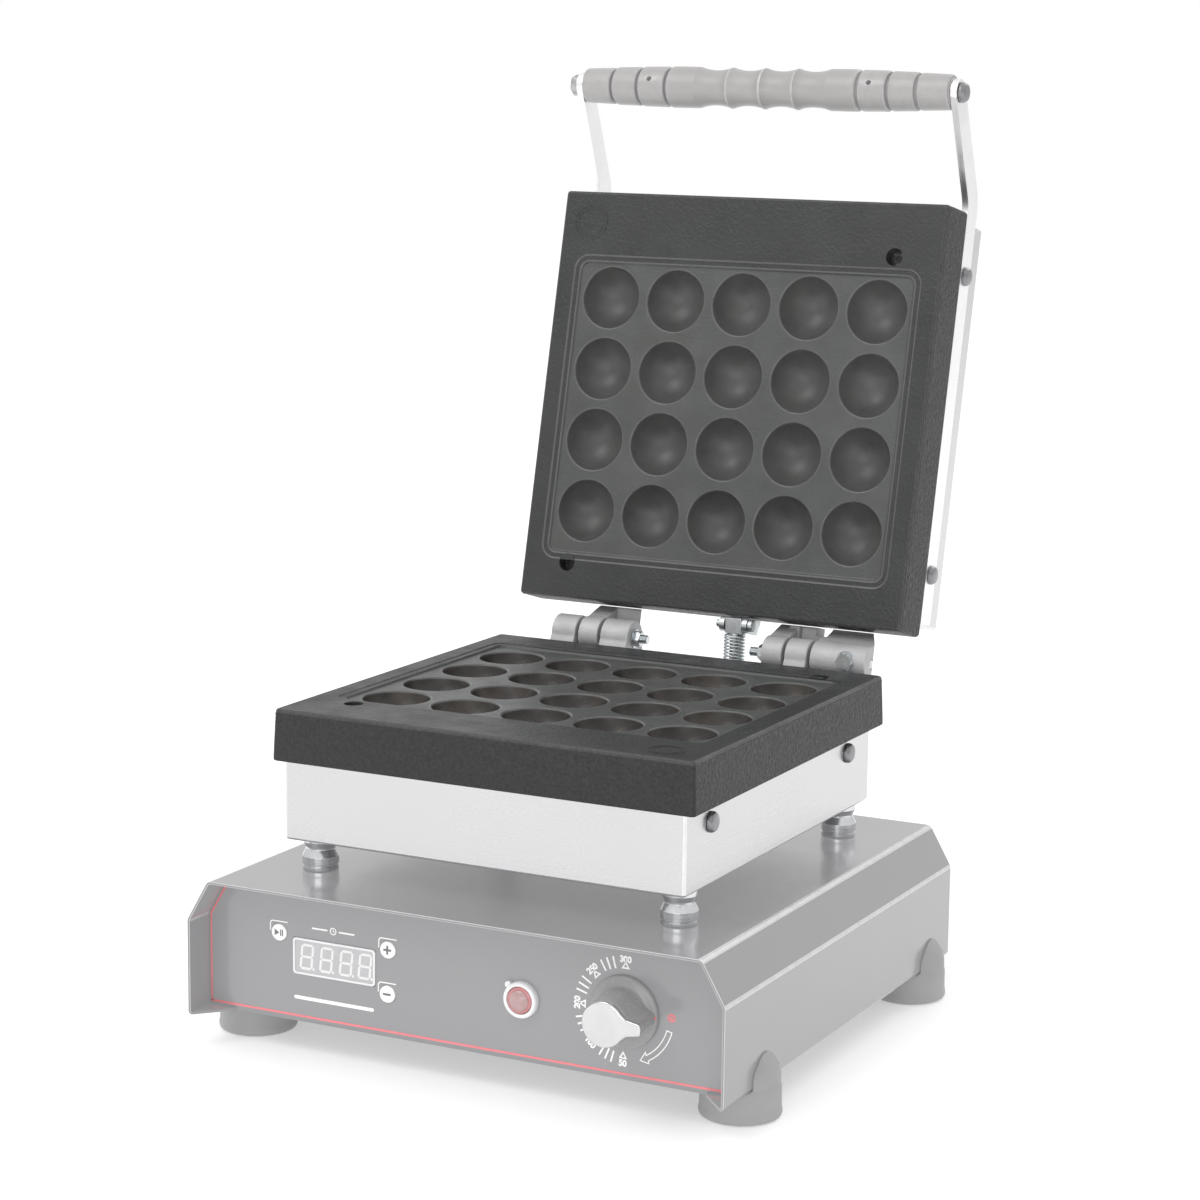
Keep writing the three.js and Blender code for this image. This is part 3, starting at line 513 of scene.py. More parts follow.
# ---------------------------------------------------------------- base shell
shell_out = rnd([(-147, 18.8, 0), (-165, 18.8, 2.2), (-165, 73.7, 5), (-151.3, 97.3, 4), (151.3, 97.3, 4), (165, 73.7, 5), (165, 18.8, 2.2), (147, 18.8, 0)], 1, 6, closed=False)
shell_in = rnd([(147, 20.3, 0), (163.5, 20.3, 0.8), (163.5, 73.3, 3.5), (150.4, 95.8, 2.5), (-150.4, 95.8, 2.5), (-163.5, 73.3, 3.5), (-163.5, 20.3, 0.8), (-147, 20.3, 0)], 1, 6, closed=False)
shell = bevel(make("base_shell", prism(shell_out + shell_in, 0, 319, "Y")), 0.32, 2, 50, 1)
mit = []
for s in (-1, 1):
    mit.append(prism([(s * 163.9, -1), (s * 146, -1), (s * 146, 18)], 17, 20.4))
    mit.append(prism([(s * 163.9, 320), (s * 146, 320), (s * 146, 301)], 17, 20.4))
shell = boolean(shell, make("mitre_tool", *mit))
# painted highlight: the bevels and the rounded folds take the lighter enamel in slot 1
for q in shell.data.polygons:
    c = q.center
    if abs(q.normal.y) < 0.3 and ((abs(abs(c.x) - 151.0) < 2.6 and c.z > 95.4) or (abs(abs(c.x) - 164.3) < 1.5 and 71.0 < c.z < 77.0)):
        q.material_index = 1
done(shell, "base", [ENAMEL, ENAMEL_HIGHLIGHT], "base_housing", angle=28)

PXO, PCO, PFO = 163.2, 150.2, 146.7
rear_pts = rnd([(-PXO, 20.6, 0.6), (-PFO, 20.6, 0), (-PFO, 18.8, 0.4), (PFO, 18.8, 0.4), (PFO, 20.6, 0), (PXO, 20.6, 0.6), (PXO, 73.1, 3), (PCO, 95.5, 2), (-PCO, 95.5, 2), (-PXO, 73.1, 3)], 0.5, 4)
vents = [rnd([(x - 2.5, 40), (x + 2.5, 40), (x + 2.5, 76), (x - 2.5, 76)], 2.45, 6) for x in (-60, -36, -12, 12, 36, 60)]
rear = bevel(make("rear_cover", prism(rear_pts, 315, 316.5, "Y", vents)), 0.25, 2, 50)
done(rear, "base", ENAMEL, "rear_panel", angle=40)
# cover screws, on the rear panel
for i, (x, z) in enumerate([(-140, 34), (140, 34), (-132, 84), (132, 84)]):
    head = make(f"rear_cover_screw_{i + 1}", lathe([(0, 316.4), (3.4, 316.4), (3.5, 316.9), (3.1, 317.7), (2.0, 318.25), (0, 318.4)], 32, "Y", (x, z)))
    cross = [prism(rrect(x - 1.9, x + 1.9, z - 0.4, z + 0.4, 0.2, 2), 317.5, 319, "Y"), prism(rrect(x - 0.4, x + 0.4, z - 1.9, z + 1.9, 0.2, 2), 317.5, 319, "Y")]
    for k, c in enumerate(cross):
        head = boolean(head, make(f"cross_tool_{k}", c))
    done(head, "base", ZINC)

# ---------------------------------------------------------------- control film
KX, KZ, LX, LZ = 98.5, 56.5, 37.0, 53.7
KEYS = {"start": (-116.5, 68.5), "plus": (-46.3, 68.6), "minus": (-46.6, 43.5)}
film_pts = rnd([(-162.8, 20.9, 1.2), (162.8, 20.9, 1.2), (162.8, 72.9, 3), (149.8, 95.0, 2), (-149.8, 95.0, 2), (-162.8, 72.9, 3)], 1, 4)
film_holes = [circ(KX, KZ, 4.6, 32), circ(LX, LZ, 6.5, 32), rrect(-107.6, -54.1, 46.2, 67.5, 1.8)] + [circ(x, z, 5.2, 48) for x, z in KEYS.values()]
film = bevel(make("control_film", prism(film_pts, 19.2, 19.7, "Y", film_holes)), 0.1, 2, 50)
done(film, "base", FILM, "control_overlay")

FRONT = 19.2           # face of the film


def flat(polys, y0, y1):
    """Raised print: outline polygons (x, z), or (outline, hole) pairs."""
    out = []
    for p in polys:
        if isinstance(p, tuple):
            out.append(prism(p[0], y0, y1, "Y", [p[1]]))
        else:
            out.append(prism(p, y0, y1, "Y"))
    return out


def glyphs(text, size, cx, cz, turn, y0, y1, bold=0.02):
    """Dial numerals as solid shapes centred on (cx, cz), turned by turn degrees."""
    cu = bpy.data.curves.new("numeral", "FONT")
    cu.body, cu.size, cu.align_x, cu.align_y = text, size, "CENTER", "CENTER"
    cu.extrude, cu.offset, cu.resolution_u = (y1 - y0) / 2, bold * size, 3
    cu.space_character = 0.92
    ob = bpy.data.objects.new("numeral", cu)
    bpy.context.scene.collection.objects.link(ob)
    bpy.context.view_layer.update()
    me = bpy.data.meshes.new_from_object(ob.evaluated_get(bpy.context.evaluated_depsgraph_get()))
    v = [x.co.copy() for x in me.vertices]
    f = [tuple(p.vertices) for p in me.polygons]
    bpy.data.objects.remove(ob)
    bpy.data.meshes.remove(me)
    c, s = math.cos(turn * DEG), math.sin(turn * DEG)
    ym = (y0 + y1) / 2
    lo_x, hi_x = min(p.x for p in v), max(p.x for p in v)
    lo_y, hi_y = min(p.y for p in v), max(p.y for p in v)
    mx, my = (lo_x + hi_x) / 2, (lo_y + hi_y) / 2
    vv = [(cx + (p.x - mx) * c - (p.y - my) * s, ym - p.z, cz + (p.x - mx) * s + (p.y - my) * c) for p in v]
    return vv, f


def polar(r, a):
    return KX + r * math.cos(a * DEG), KZ + r * math.sin(a * DEG)


Y0, Y1 = FRONT - 0.14, FRONT + 0.06
white = []
for x, z in KEYS.values():
    path = rnd([(x - 5.9, z + 0.5, 0), (x - 5.9, z + 6.2, 1.8), (x + 5.4, z + 6.2, 0)], 3, 5, closed=False)
    white += flat(stroke(path, 0.6), Y0, Y1)
for a in (119.5, 112, 104.5, 148.7, 156.6, 164.1, -165.8, -158.3, -150.8, -120, -112.75, -105.75):
    white += flat(stroke([polar(23.4, a), polar(30.0, a)], 0.95), Y0, Y1)
for text, a in (("300", 90), ("250", 134), ("200", 178.5), ("100", 225.6), ("50", 268)):
    up = a - 90 if 0 <= a <= 180 else a + 90
    out_r, in_r = 28.4, 24.6
    white.append(glyphs(text, 4.9, *polar(out_r, a), up, Y0, Y1, 0.045))
    tri = []
    for k in (90, 210, 330):
        cx, cz = polar(in_r, a)
        tri.append((cx + 2.25 * math.cos((k + up) * DEG), cz + 2.25 * math.sin((k + up) * DEG)))
    o_, i_ = inset(tri, -0.3), inset(tri, 0.5)
    white += flat([(o_, i_)], Y0, Y1)
arrow = arc2(KX, KZ, 28.4, -15, -60, 14) + [polar(29.9, -61.5), polar(26.9, -70), polar(23.7, -59), polar(25.2, -60)] + arc2(KX, KZ, 25.3, -60, -15, 14)
white += flat([(inset(arrow, -0.25), inset(arrow, 0.32))], Y0, Y1)
# a plain clock mark and two bars over the display
white += flat([(circ(-81.5, 73.8, 2.1, 32), circ(-81.5, 73.8, 1.55, 32))], Y0, Y1)
white += flat(stroke([(-81.5, 75.0), (-81.5, 73.8), (-80.6, 73.3)], 0.4), Y0, Y1)
for sx in (-1, 1):
    white += flat([rrect(-81.5 + sx * 3.6 if sx > 0 else -81.5 - 13.8, -81.5 + 13.8 if sx > 0 else -81.5 - 3.6, 73.35, 74.25, 0.4, 3)], Y0, Y1)
white += flat([rrect(-107.0, -55.4, 31.9, 33.9, 0.95, 4)], Y0, Y1)
done(make("film_print_white", *white), "base", PRINT_WHITE, weighted=False)

red = []
line_out = rnd([(-161.9, 22.2, 0), (-161.9, 73.1, 1.2), (-149.5, 94.3, 0)], 1, 3, closed=False)
red += flat(stroke(line_out, 1.0), Y0, Y1)
red += flat([[(-162.4, 21.7), (162.4, 21.7), (162.4, 22.9), (-162.4, 22.9)]], Y0, Y1)
red += flat(stroke([(-x, z) for x, z in line_out], 1.0), Y0, Y1)
red += flat([(circ(125.6, 57.1, 2.3, 32), circ(125.6, 57.1, 1.35, 32)), circ(125.6, 57.1, 0.75, 20)], Y0, Y1)
done(make("film_print_red", *red), "base", PRINT_RED, weighted=False)

# ---------------------------------------------------------------- display
fr_o, fr_i = rrect(-107.3, -54.4, 46.5, 67.2, 2.0, 6), rrect(-106.1, -55.6, 47.7, 66.0, 1.2, 6)
display = bevel(make("display_frame", prism(fr_o, 18.5, 21.6, "Y", [fr_i])), 0.35, 3, 50)
done(display, "base", PANE_FRAME)
pane = bevel(make("display_pane", prism(rrect(-106.6, -55.1, 47.2, 66.5, 1.2, 4), 18.95, 21.5, "Y")), 0.2, 2, 50)
done(pane, "base", PANE, "display_window")
seg = []
SL = 0.10              # slant of the digits


def bar(x0, z0, x1, z1, w):
    """One display segment with pointed ends, between two points of the unslanted digit."""
    d = Vector((x1 - x0, z1 - z0)).normalized()
    n = Vector((-d.y, d.x)) * w / 2
    a, b = Vector((x0, z0)), Vector((x1, z1))
    h = w / 2
    return [tuple(p) for p in (a, a + d * h + n, b - d * h + n, b, b - d * h - n, a + d * h - n)]


for cx in (-98.4, -85.7, -73.0, -60.9):
    cz, hw_, hh = 56.9, 3.5, 6.7
    for p in ((-1, 0, -1, 1), (-1, -1, -1, 0), (1, 0, 1, 1), (1, -1, 1, 0), (-1, 1, 1, 1), (-1, 0, 1, 0), (-1, -1, 1, -1)):
        q = bar(p[0] * hw_, p[1] * hh, p[2] * hw_, p[3] * hh, 1.6)
        q = inset([(x, z) for x, z in q], 0.08)
        seg.append(prism([(cx + x + SL * z, cz + z) for x, z in q], 18.82, 19.0, "Y"))
    seg.append(prism(circ(cx + 4.9 - 0.6, cz - 6.6, 0.75, 20), 18.82, 19.0, "Y"))
done(make("display_digits", *seg), "base", DIGIT, weighted=False)

# ---------------------------------------------------------------- keys
KEY_BODY = {"start": "start_key", "plus": "plus_key", "minus": "minus_key"}
for key, (x, z) in KEYS.items():
    cap = make(f"key_{key}", lathe([(0, 18.22), (3.0, 18.24), (4.3, 18.36), (4.75, 18.6), (4.9, 19.0), (4.9, 22.1), (6, 22.1), (6, 23), (0, 23)], 64, "Y", (x, z)))
    done(cap, KEY_BODY[key], KEY, f"button_{key}")
    ink = []
    if key == "start":
        ink += flat([[(x - 2.6, z - 1.9), (x + 0.5, z), (x - 2.6, z + 1.9)]], 18.14, 18.5)
        ink += flat([rrect(x + 1.0, x + 1.7, z - 1.9, z + 1.9, 0.2, 2), rrect(x + 2.2, x + 2.9, z - 1.9, z + 1.9, 0.2, 2)], 18.14, 18.5)
    else:
        ink += flat([rrect(x - 2.5, x + 2.5, z - 0.6, z + 0.6, 0.2, 2)], 18.14, 18.5)
        if key == "plus":
            ink += flat([rrect(x - 0.6, x + 0.6, z - 2.5, z + 2.5, 0.2, 2)], 18.16, 18.5)
    done(make(f"key_{key}_icon", *ink), KEY_BODY[key], ICON, weighted=False)

# ---------------------------------------------------------------- lamp
collar = make("lamp_collar", lathe([(0, 18.2), (7.5, 18.2), (7.55, 16.0), (7.8, 15.55), (8.3, 15.4), (9.2, 15.5), (9.8, 15.95), (10.15, 17.0), (10.2, 18.9), (6, 18.9), (6, 40), (0, 40)], 72, "Y", (LX, LZ)),
              lathe([(0, 16.6), (1.4, 16.6), (1.9, 17.0), (2.0, 18.9), (0, 18.9)], 24, "Y", (LX - 7.6, LZ + 7.4)))
done(collar, "base", BEZEL, "lamp_bezel")
dome = make("lamp_dome", lathe([(0, 17.9), (7.35, 17.9), (7.35, 16.3), (7.1, 15.9), (6.3, 15.75), (5.9, 15.6), (5.6, 15.1), (4.8, 14.5), (3.2, 13.8), (1.6, 13.4), (0, 13.3)], 56, "Y", (LX, LZ)))
for q in dome.data.polygons:
    q.material_index = 1 if math.hypot(q.center.x - LX, q.center.z - LZ) > 5.65 else 0
done(dome, "base", [LENS, LENS_RING], "lamp_lens")

# ---------------------------------------------------------------- thermostat knob
def tear(R, L, h1, h2, n=40, spread=36):
    """Round body with a nose towards +X."""
    p = [(R * math.cos((spread + (360 - 2 * spread) * i / n) * DEG), R * math.sin((spread + (360 - 2 * spread) * i / n) * DEG), 0) for i in range(n + 1)]
    p += [(R * 1.06, -h1, 5), (L - 0.4, -h2, 1.4), (L, 0, 0), (L - 0.4, h2, 1.4), (R * 1.06, h1, 5)]
    return [(x + KX, z + KZ) for x, z in rnd(p, 1, 6)]


def ring_y(poly, y):
    return [(x, y, z) for x, z in poly]


skirt = lathe([(0, 18.9), (19.4, 18.9), (20, 18.5), (20, 17.5), (19.6, 16.9), (18.4, 16.2), (16.4, 15.7), (15.0, 15.2), (14.2, 14.2), (13.9, 12.5), (0, 12.5)], 96, "Y", (KX, KZ))
grip_rings = [ring_y(tear(14.2, 18.6, 4.9, 2.9), 16.2), ring_y(tear(14.0, 18.6, 4.8, 2.8), 15.0), ring_y(tear(13.2, 18.5, 4.6, 2.7), 4.0),
              ring_y(tear(12.7, 18.4, 4.5, 2.6), -3.4), ring_y(tear(12.4, 18.1, 4.3, 2.4), -4.1), ring_y(tear(11.6, 17.4, 3.8, 2.0), -4.35)]
knob = voxel(make("knob_grip", skirt, loft(grip_rings)), 0.32, 4, 0.5)
done(knob, "knob", KNOB, "thermostat_knob", angle=60)
cap = [ring_y(tear(12.35, 21.7, 4.6, 3.0), -4.5), ring_y(tear(12.4, 21.8, 4.6, 3.05), -4.7), ring_y(tear(12.4, 21.8, 4.6, 3.05), -6.2),
       ring_y(inset(tear(12.4, 21.8, 4.6, 3.05), 0.18), -6.65), ring_y(inset(tear(12.4, 21.8, 4.6, 3.05), 0.55), -6.92), ring_y(inset(tear(12.4, 21.8, 4.6, 3.05), 1.0), -7.0)]
done(make("knob_face", loft(cap)), "knob", CHROME, "knob_cap", angle=50)
dot = make("knob_mark", lathe([(0, 16.2), (1.05, 16.25), (1.15, 16.5), (1.15, 17.3), (0, 17.3)], 28, "Y", (KX + 18.3, KZ)))
done(dot, "knob", PRINT_RED)

# ---------------------------------------------------------------- feet
for sy, y in (("front", 50.5), ("rear", 288.5)):
    for sx, s in (("left", -1), ("right", 1)):
        x = s * 151.6
        prof = [(0, 0), (19.8, 0), (21.4, 0.5), (22.2, 1.6), (22.45, 3.0), (22.2, 4.6), (21.9, 6.0), (21.8, 16.9), (21.5, 17.5), (21.3, 18.2), (21.2, 24), (20.2, 28), (13.2, 38.0), (0, 38.0)]
        foot = make(f"foot_pad_{sy}_{sx}", lathe(prof, 96, "Z", (x, y)))
        wall = s * 165.3
        bx = prism([(min(wall, s * 100), y - 40), (max(wall, s * 100), y - 40), (max(wall, s * 100), y + 40), (min(wall, s * 100), y + 40)], 18.45, 60)
        foot = boolean(foot, make("foot_tool", bx))
        foot = voxel(foot, 0.75, 5, 0.5)
        done(foot, "base", RUBBER, f"foot_{sy}_{sx}", angle=75, weighted=False)

# ---------------------------------------------------------------- spacer posts
post_prof = rnd([(0, 97.5, 0), (10.1, 97.5, 0.4), (10.2, 99.7, 0.2), (9.5, 99.9, 0.1), (9.5, 100.5, 0.1), (10.3, 100.7, 0.2), (10.4, 105.3, 0.4),
                 (8.35, 109.5, 0.6), (8.4, 110.5, 0.4), (9.75, 113.5, 0.6), (9.9, 116.6, 0.3), (0, 116.6, 0)], 0.3, 4, closed=False)
for sy, y in (("front", 55), ("rear", 270)):
    for sx, s in (("left", -1), ("right", 1)):
        done(make(f"spacer_{sy}_{sx}", lathe(post_prof, 72, "Z", (s * 112, y))), "base", TURNED, f"post_{sy}_{sx}", angle=22)


# ---------------------------------------------------------------- sheet boxes
def tray(z_open, z_shut, t=1.2, r=1.6, hx=123.7, y0=36.3, y1=286.2):
    """Folded box open at z_open and closed at z_shut."""
    s = 1 if z_shut > z_open else -1

    def ring(d, z, rr):
        return [(x, y, z) for x, y in rrect(-hx + d, hx - d, y0 + d, y1 - d, max(rr, 0.2), 5)]
    rings = [ring(t, z_shut - s * t, r - t), ring(t, z_open, r - t), ring(0.1, z_open, r), ring(0, z_open + s * 0.1, r), ring(0, z_shut - s * r, r)]
    for k in range(1, 6):
        a = k / 5 * math.pi / 2
        rings.append(ring(r * (1 - math.cos(a)), z_shut - s * r * (1 - math.sin(a)), r))
    return loft(rings)


def folded(name, z_open, z_shut):
    o = make(name, tray(z_open, z_shut))
    # painted highlight: the rounded corners and the fold take the lighter steel in slot 1
    for q in o.data.polygons:
        c, n = q.center, q.normal
        corner = abs(n.x) > 0.12 and abs(n.y) > 0.12
        fold = abs(c.z - z_shut) < 1.7 and 0.12 < abs(n.z) < 0.99
        q.material_index = 1 if (corner or fold) else 0
    return o


done(folded("lower_tray", 161.3, 116.8), "base", [STEEL, STEEL_HIGHLIGHT], "lower_housing", angle=30)
done(folded("lid_tray", 222.5, 267.0), "lid", [STEEL, STEEL_HIGHLIGHT], "lid_housing", lid=True, angle=30)

# ---------------------------------------------------------------- cast plates
CAV_R, CAV_D, FIELD = 19.3, 17.0, 2.0


def cast(up):
    """Cast plate with its face up at z = 0, thickness t; returned with face and side material indices."""
    t = 29.5 if up else 30.6
    hx, y0, y1, d = 130.0, 33.15, 292.8, 1.2
    V, F, MI = [], [], []

    def put(part, mi):
        b = len(V)
        V.extend(part[0])
        F.extend(tuple(i + b for i in q) for q in part[1])
        MI.extend([mi] * len(part[1]))

    def ring(dd, z, r, seg=6):
        return [(x, y, z) for x, y in rrect(-hx + dd, hx - dd, y0 + dd, y1 - dd, r, seg)]
    # sides, from the face's rounded edge down to the bottom
    er, br = 1.5, 1.0
    prof = []
    for k in range(6):
        a = k / 5 * math.pi / 2
        prof.append((d + er * (1 - math.sin(a)), -er * (1 - math.cos(a))))
    prof += [(d - 0.02, -er - 0.6), (d - 0.22, -er - 1.0), (d - 0.3, -er - 1.6), (d - 0.18, -er - 2.2)]
    for q in (0.3, 0.6, 0.85):
        prof.append((d * (1 - q) - 0.1, -t * q))
    prof.append((0.0, -t + br))
    for k in range(1, 5):
        a = k / 4 * math.pi / 2
        prof.append((br * (1 - math.cos(a)), -t + br * (1 - math.sin(a))))
    rings = [ring(dd, z, max(0.6, 2.4 - dd * 0.3)) for dd, z in prof]
    rings[0] = [(x, y, 0) for x, y, z in ring(prof[0][0], 0, 2.4)]
    # painted highlight: the rounded top edge and flash line take the lighter cast in slot 4
    put(loft(rings[:7], cap0=False, cap1=False), 4)
    put(loft(rings[6:], cap0=False, cap1=True), 1)
    top_loop = rings[0]

    # sunk field: lip, wall, fillet
    def fring(o, z, r):
        return [(x, y, z) for x, y in rrect(-112 - o, 112 + o, 79.5 - o, 262.5 + o, r, 8)]
    fprof = [(5.3, 0, 9.6), (4.9, -0.06, 9.2), (4.6, -0.3, 8.9), (4.3, -0.55, 8.6), (3.8, -0.64, 8.1), (1.7, -0.58, 6.3), (1.2, -0.6, 5.9), (0.8, -0.74, 5.5), (0.45, -1.05, 5.2), (0.1, -1.5, 4.9), (-0.25, -1.82, 4.6), (-0.8, -FIELD, 4.2)]
    frs = [fring(*q) for q in fprof]
    # painted highlight: the lip's slopes take the lighter cast, slot 4 on the lower plate and the rim's slot 5 on the
    # upper
    put(loft(frs[:4], False, False), 4 if up else 5)
    put(loft(frs[3:6], False, False), 0)
    put(loft(frs[5:8], False, False), 4 if up else 5)
    put(loft(frs[7:], False, False), 3)

    # cavities
    R = (CAV_R ** 2 + CAV_D ** 2) / (2 * CAV_D)
    f = 1.2
    top = R - CAV_D                      # the ball's centre above the field
    rc = math.sqrt((R + f) ** 2 - (top + f) ** 2)
    n = 60
    a_rim = math.atan2(rc, top + f)      # polar angle of the tangent point, from straight down
    tangent = (R * math.sin(a_rim), top - R * math.cos(a_rim))
    cen = Vector((rc, -f))
    v0, v1 = Vector((0, f)), Vector(tangent) - cen
    t0, t1 = math.atan2(v0.y, v0.x), math.atan2(v1.y, v1.x)
    t1 = t1 if t1 > t0 else t1 + 2 * math.pi
    pr = [(cen.x + f * math.cos(t0 + (t1 - t0) * k / 5), cen.y + f * math.sin(t0 + (t1 - t0) * k / 5)) for k in range(6)]
    for k in range(1, 15):
        a = a_rim * (1 - k / 14)
        pr.append((R * math.sin(a), top - R * math.cos(a)))
    pr[-1] = (0, pr[-1][1])
    holes = []
    for i in range(-2, 3):
        for j in range(4):
            cx, cy = i * 45.0, 100.8 + 45.0 * j
            # painted highlight: each bowl's rim fillet takes the lighter rim cast in slot 5
            put(lathe([(r_, h_ - FIELD) for r_, h_ in pr[:6]], n, "Z", (cx, cy)), 5)
            put(lathe([(r_, h_ - FIELD) for r_, h_ in pr[5:]], n, "Z", (cx, cy)), 2)
            holes.append([(cx + pr[0][0] * math.cos(2 * math.pi * q / n), cy + pr[0][0] * math.sin(2 * math.pi * q / n)) for q in range(n)])

    def fill(outer, hs, z):
        loops = [[Vector((p[0], p[1], 0)) for p in outer]] + [[Vector((p[0], p[1], 0)) for p in h] for h in hs]
        flat_ = [p for lp in loops for p in lp]
        return [(p.x, p.y, z) for p in flat_], [tuple(q) for q in tessellate_polygon(loops)]
    put(fill([(p[0], p[1]) for p in frs[-1]], holes, -FIELD), 3)

    # screw bores and the face around the field
    bores = []
    for x, y in ([(-98, 67.5), (98, 269.5)] if up else [(98, 67.5), (-98, 269.5)]):
        bp = [(5.7, 0.0), (5.4, -0.12), (5.2, -0.5), (5.2, -7.9), (0, -7.9)]
        put(lathe(bp, 40, "Z", (x, y)), 0)
        bores.append([(x + 5.7 * math.cos(2 * math.pi * q / 40), y + 5.7 * math.sin(2 * math.pi * q / 40)) for q in range(40)])
    put(fill([(p[0], p[1]) for p in top_loop], [[(p[0], p[1]) for p in frs[0]]] + bores, 0.0), 0)
    return V, F, MI, t


def cast_mark(cx, cy, r):
    """Plain raised casting mark: two rings round a small boss."""
    return [prism(circ(cx, cy, r, 64), -0.3, 0.22, "Z", [circ(cx, cy, r - 1.0, 64)]),
            prism(circ(cx, cy, r - 2.4, 56), -0.3, 0.2, "Z", [circ(cx, cy, r - 3.1, 56)]),
            lathe([(0, -0.3), (3.1, -0.3), (3.0, 0.1), (2.4, 0.2), (0, 0.23)], 40, "Z", (cx, cy))]


def plate(name, up, mark, body, node):
    V, F, MI, t = cast(up)
    me = bpy.data.meshes.new(name)
    me.from_pydata(V, [], F)
    me.polygons.foreach_set("material_index", MI)
    bm = bmesh.new()
    bm.from_mesh(me)
    bmesh.ops.remove_doubles(bm, verts=bm.verts, dist=2e-3)
    bmesh.ops.recalc_face_normals(bm, faces=bm.faces)
    bm.to_mesh(me)
    bm.free()
    o = bpy.data.objects.new(name, me)
    bpy.context.scene.collection.objects.link(o)
    print(name, "open edges", len(bad_edges(me)))
    flip = Matrix.Translation((0, 0, 191.1)) if up else Matrix.Translation((0, 0, 191.6)) @ Matrix.Diagonal((1, 1, -1, 1))
    me.transform(flip)
    if not up:
        me.flip_normals()
    done(o, body, [CAST_FACE, CAST_SIDE, CAST_BOWL_LOW if up else CAST_BOWL_UP, CAST_FIELD, CAST_HIGHLIGHT, CAST_RIM_HIGHLIGHT], node, lid=not up, angle=32)
    mk = make(name + "_cast_mark", *cast_mark(*mark))
    mk.data.transform(flip)
    if not up:
        mk.data.flip_normals()
    done(mk, body, CAST_FACE, lid=not up, weighted=False)


def bad_edges(me):
    bm = bmesh.new()
    bm.from_mesh(me)
    bad = [e.index for e in bm.edges if len(e.link_faces) != 2]
    bm.free()
    return bad


plate("lower_casting", True, (104, 52, 10.5), "base", "lower_plate")
plate("upper_casting", False, (-109.5, 54.0, 11.5), "lid", "upper_plate")


def socket_screw(name, x, y, z, s, body, node, lid):
    """Countersunk head with a hex socket; z is the head's face, s the way it looks."""
    hexa = circ(x, y, 2.3, 6)
    outer = circ(x, y, 4.6, 48)
    top = [(z - s * 0.35, outer), (z, inset(outer, 0.35)), (z, circ(x, y, 2.9, 48))]
    parts = [prism(outer, z - s * 4.0, z - s * 2.0), prism(outer, z - s * 2.02, z, "Z", [hexa])]
    o = bevel(make(name, parts[0]), 0.2, 2, 50)
    p = bevel(make(name + "_ring", parts[1]), 0.25, 2, 50)
    a = [(tuple(v.co)) for v in p.data.vertices], [tuple(f.vertices) for f in p.data.polygons]
    b = [(tuple(v.co)) for v in o.data.vertices], [tuple(f.vertices) for f in o.data.polygons]
    bpy.data.objects.remove(o), bpy.data.objects.remove(p)
    done(make(name, a, b), body, BOLT, node, lid=lid)


for i, (x, y) in enumerate([(-98, 67.5), (98, 269.5)]):
    socket_screw(f"lower_face_screw_{i + 1}", x, y, 183.2, 1, "base", f"lower_plate_screw_{i + 1}", False)
for i, (x, y) in enumerate([(98, 67.5), (-98, 269.5)]):
    socket_screw(f"upper_face_screw_{i + 1}", x, y, 199.5, -1, "lid", f"upper_plate_screw_{i + 1}", True)


# ---------------------------------------------------------------- bolts
def dome_bolt(name, s, y, z, face, inner, body, node, lid):
    prof = rnd([(0, inner, 0), (2.9, inner, 0.2), (2.9, face + 0.2, 0), (5.8, face + 0.2, 0.15), (5.8, face + 1.25, 0.5), (4.7, face + 3.0, 1.6), (0, face + 3.9, 0)], 0.3, 5, closed=False)
    prof = [(r, s * h) for r, h in prof]
    done(make(name, lathe(prof, 48, "X", (y, z))), body, BOLT, node, lid=lid)


for sy, y in (("front", 67.1), ("rear", 253.1)):
    for sx, s in (("left", -1), ("right", 1)):
        dome_bolt(f"lower_side_bolt_{sy}_{sx}", s, y, 151.5, 123.7, 117.7, "base", f"lower_bolt_{sy}_{sx}", False)
for sy, y in (("rear", 253.8), ("front", 70.5)):
    for sx, s in (("left", -1), ("right", 1)):
        dome_bolt(f"lid_side_bolt_{sy}_{sx}", s, y, 235.1, 128.0, 117.7, "lid", f"arm_bolt_{sy}_{sx}", True)

# ---------------------------------------------------------------- handle arms
A_, B_, C_ = Vector((284.3, 235.1)), Vector((24.9, 235.1)), Vector((-33.6, 193.1))
d1, d2 = (B_ - A_).normalized(), (C_ - B_).normalized()
n1, n2 = Vector((d1.y, -d1.x)), Vector((d2.y, -d2.x))
mm_ = (n1 + n2).normalized()
kk = 8 / mm_.dot(n1)
base_a = math.degrees(math.atan2(n2.y, n2.x))
tip = [(C_.x + 8 * math.cos((base_a + 180 * i / 16) * DEG), C_.y + 8 * math.sin((base_a + 180 * i / 16) * DEG), 0) for i in range(17)]
up_k, lo_k = B_ + mm_ * kk, B_ - mm_ * kk
arm_poly = rnd([(*(A_ - n1 * 8), 2.0), (*(A_ + n1 * 8), 2.0), (*up_k, 22)] + tip + [(*lo_k, 14)], 1, 8)
for sx, s in (("left", -1), ("right", 1)):
    x0 = 124.0 if s > 0 else -128.0
    holes = [circ(-33.6, 193.1, 4.2, 32)] + [circ(y, 235.1, 3.3, 24) for y in (253.8, 70.5)]
    arm = bevel(make(f"lid_arm_{sx}", prism(arm_poly, x0, x0 + 4, "X", holes)), 0.45, 2, 50)
    done(arm, "lid", STEEL_ARM, f"handle_arm_{sx}", lid=True, angle=38)

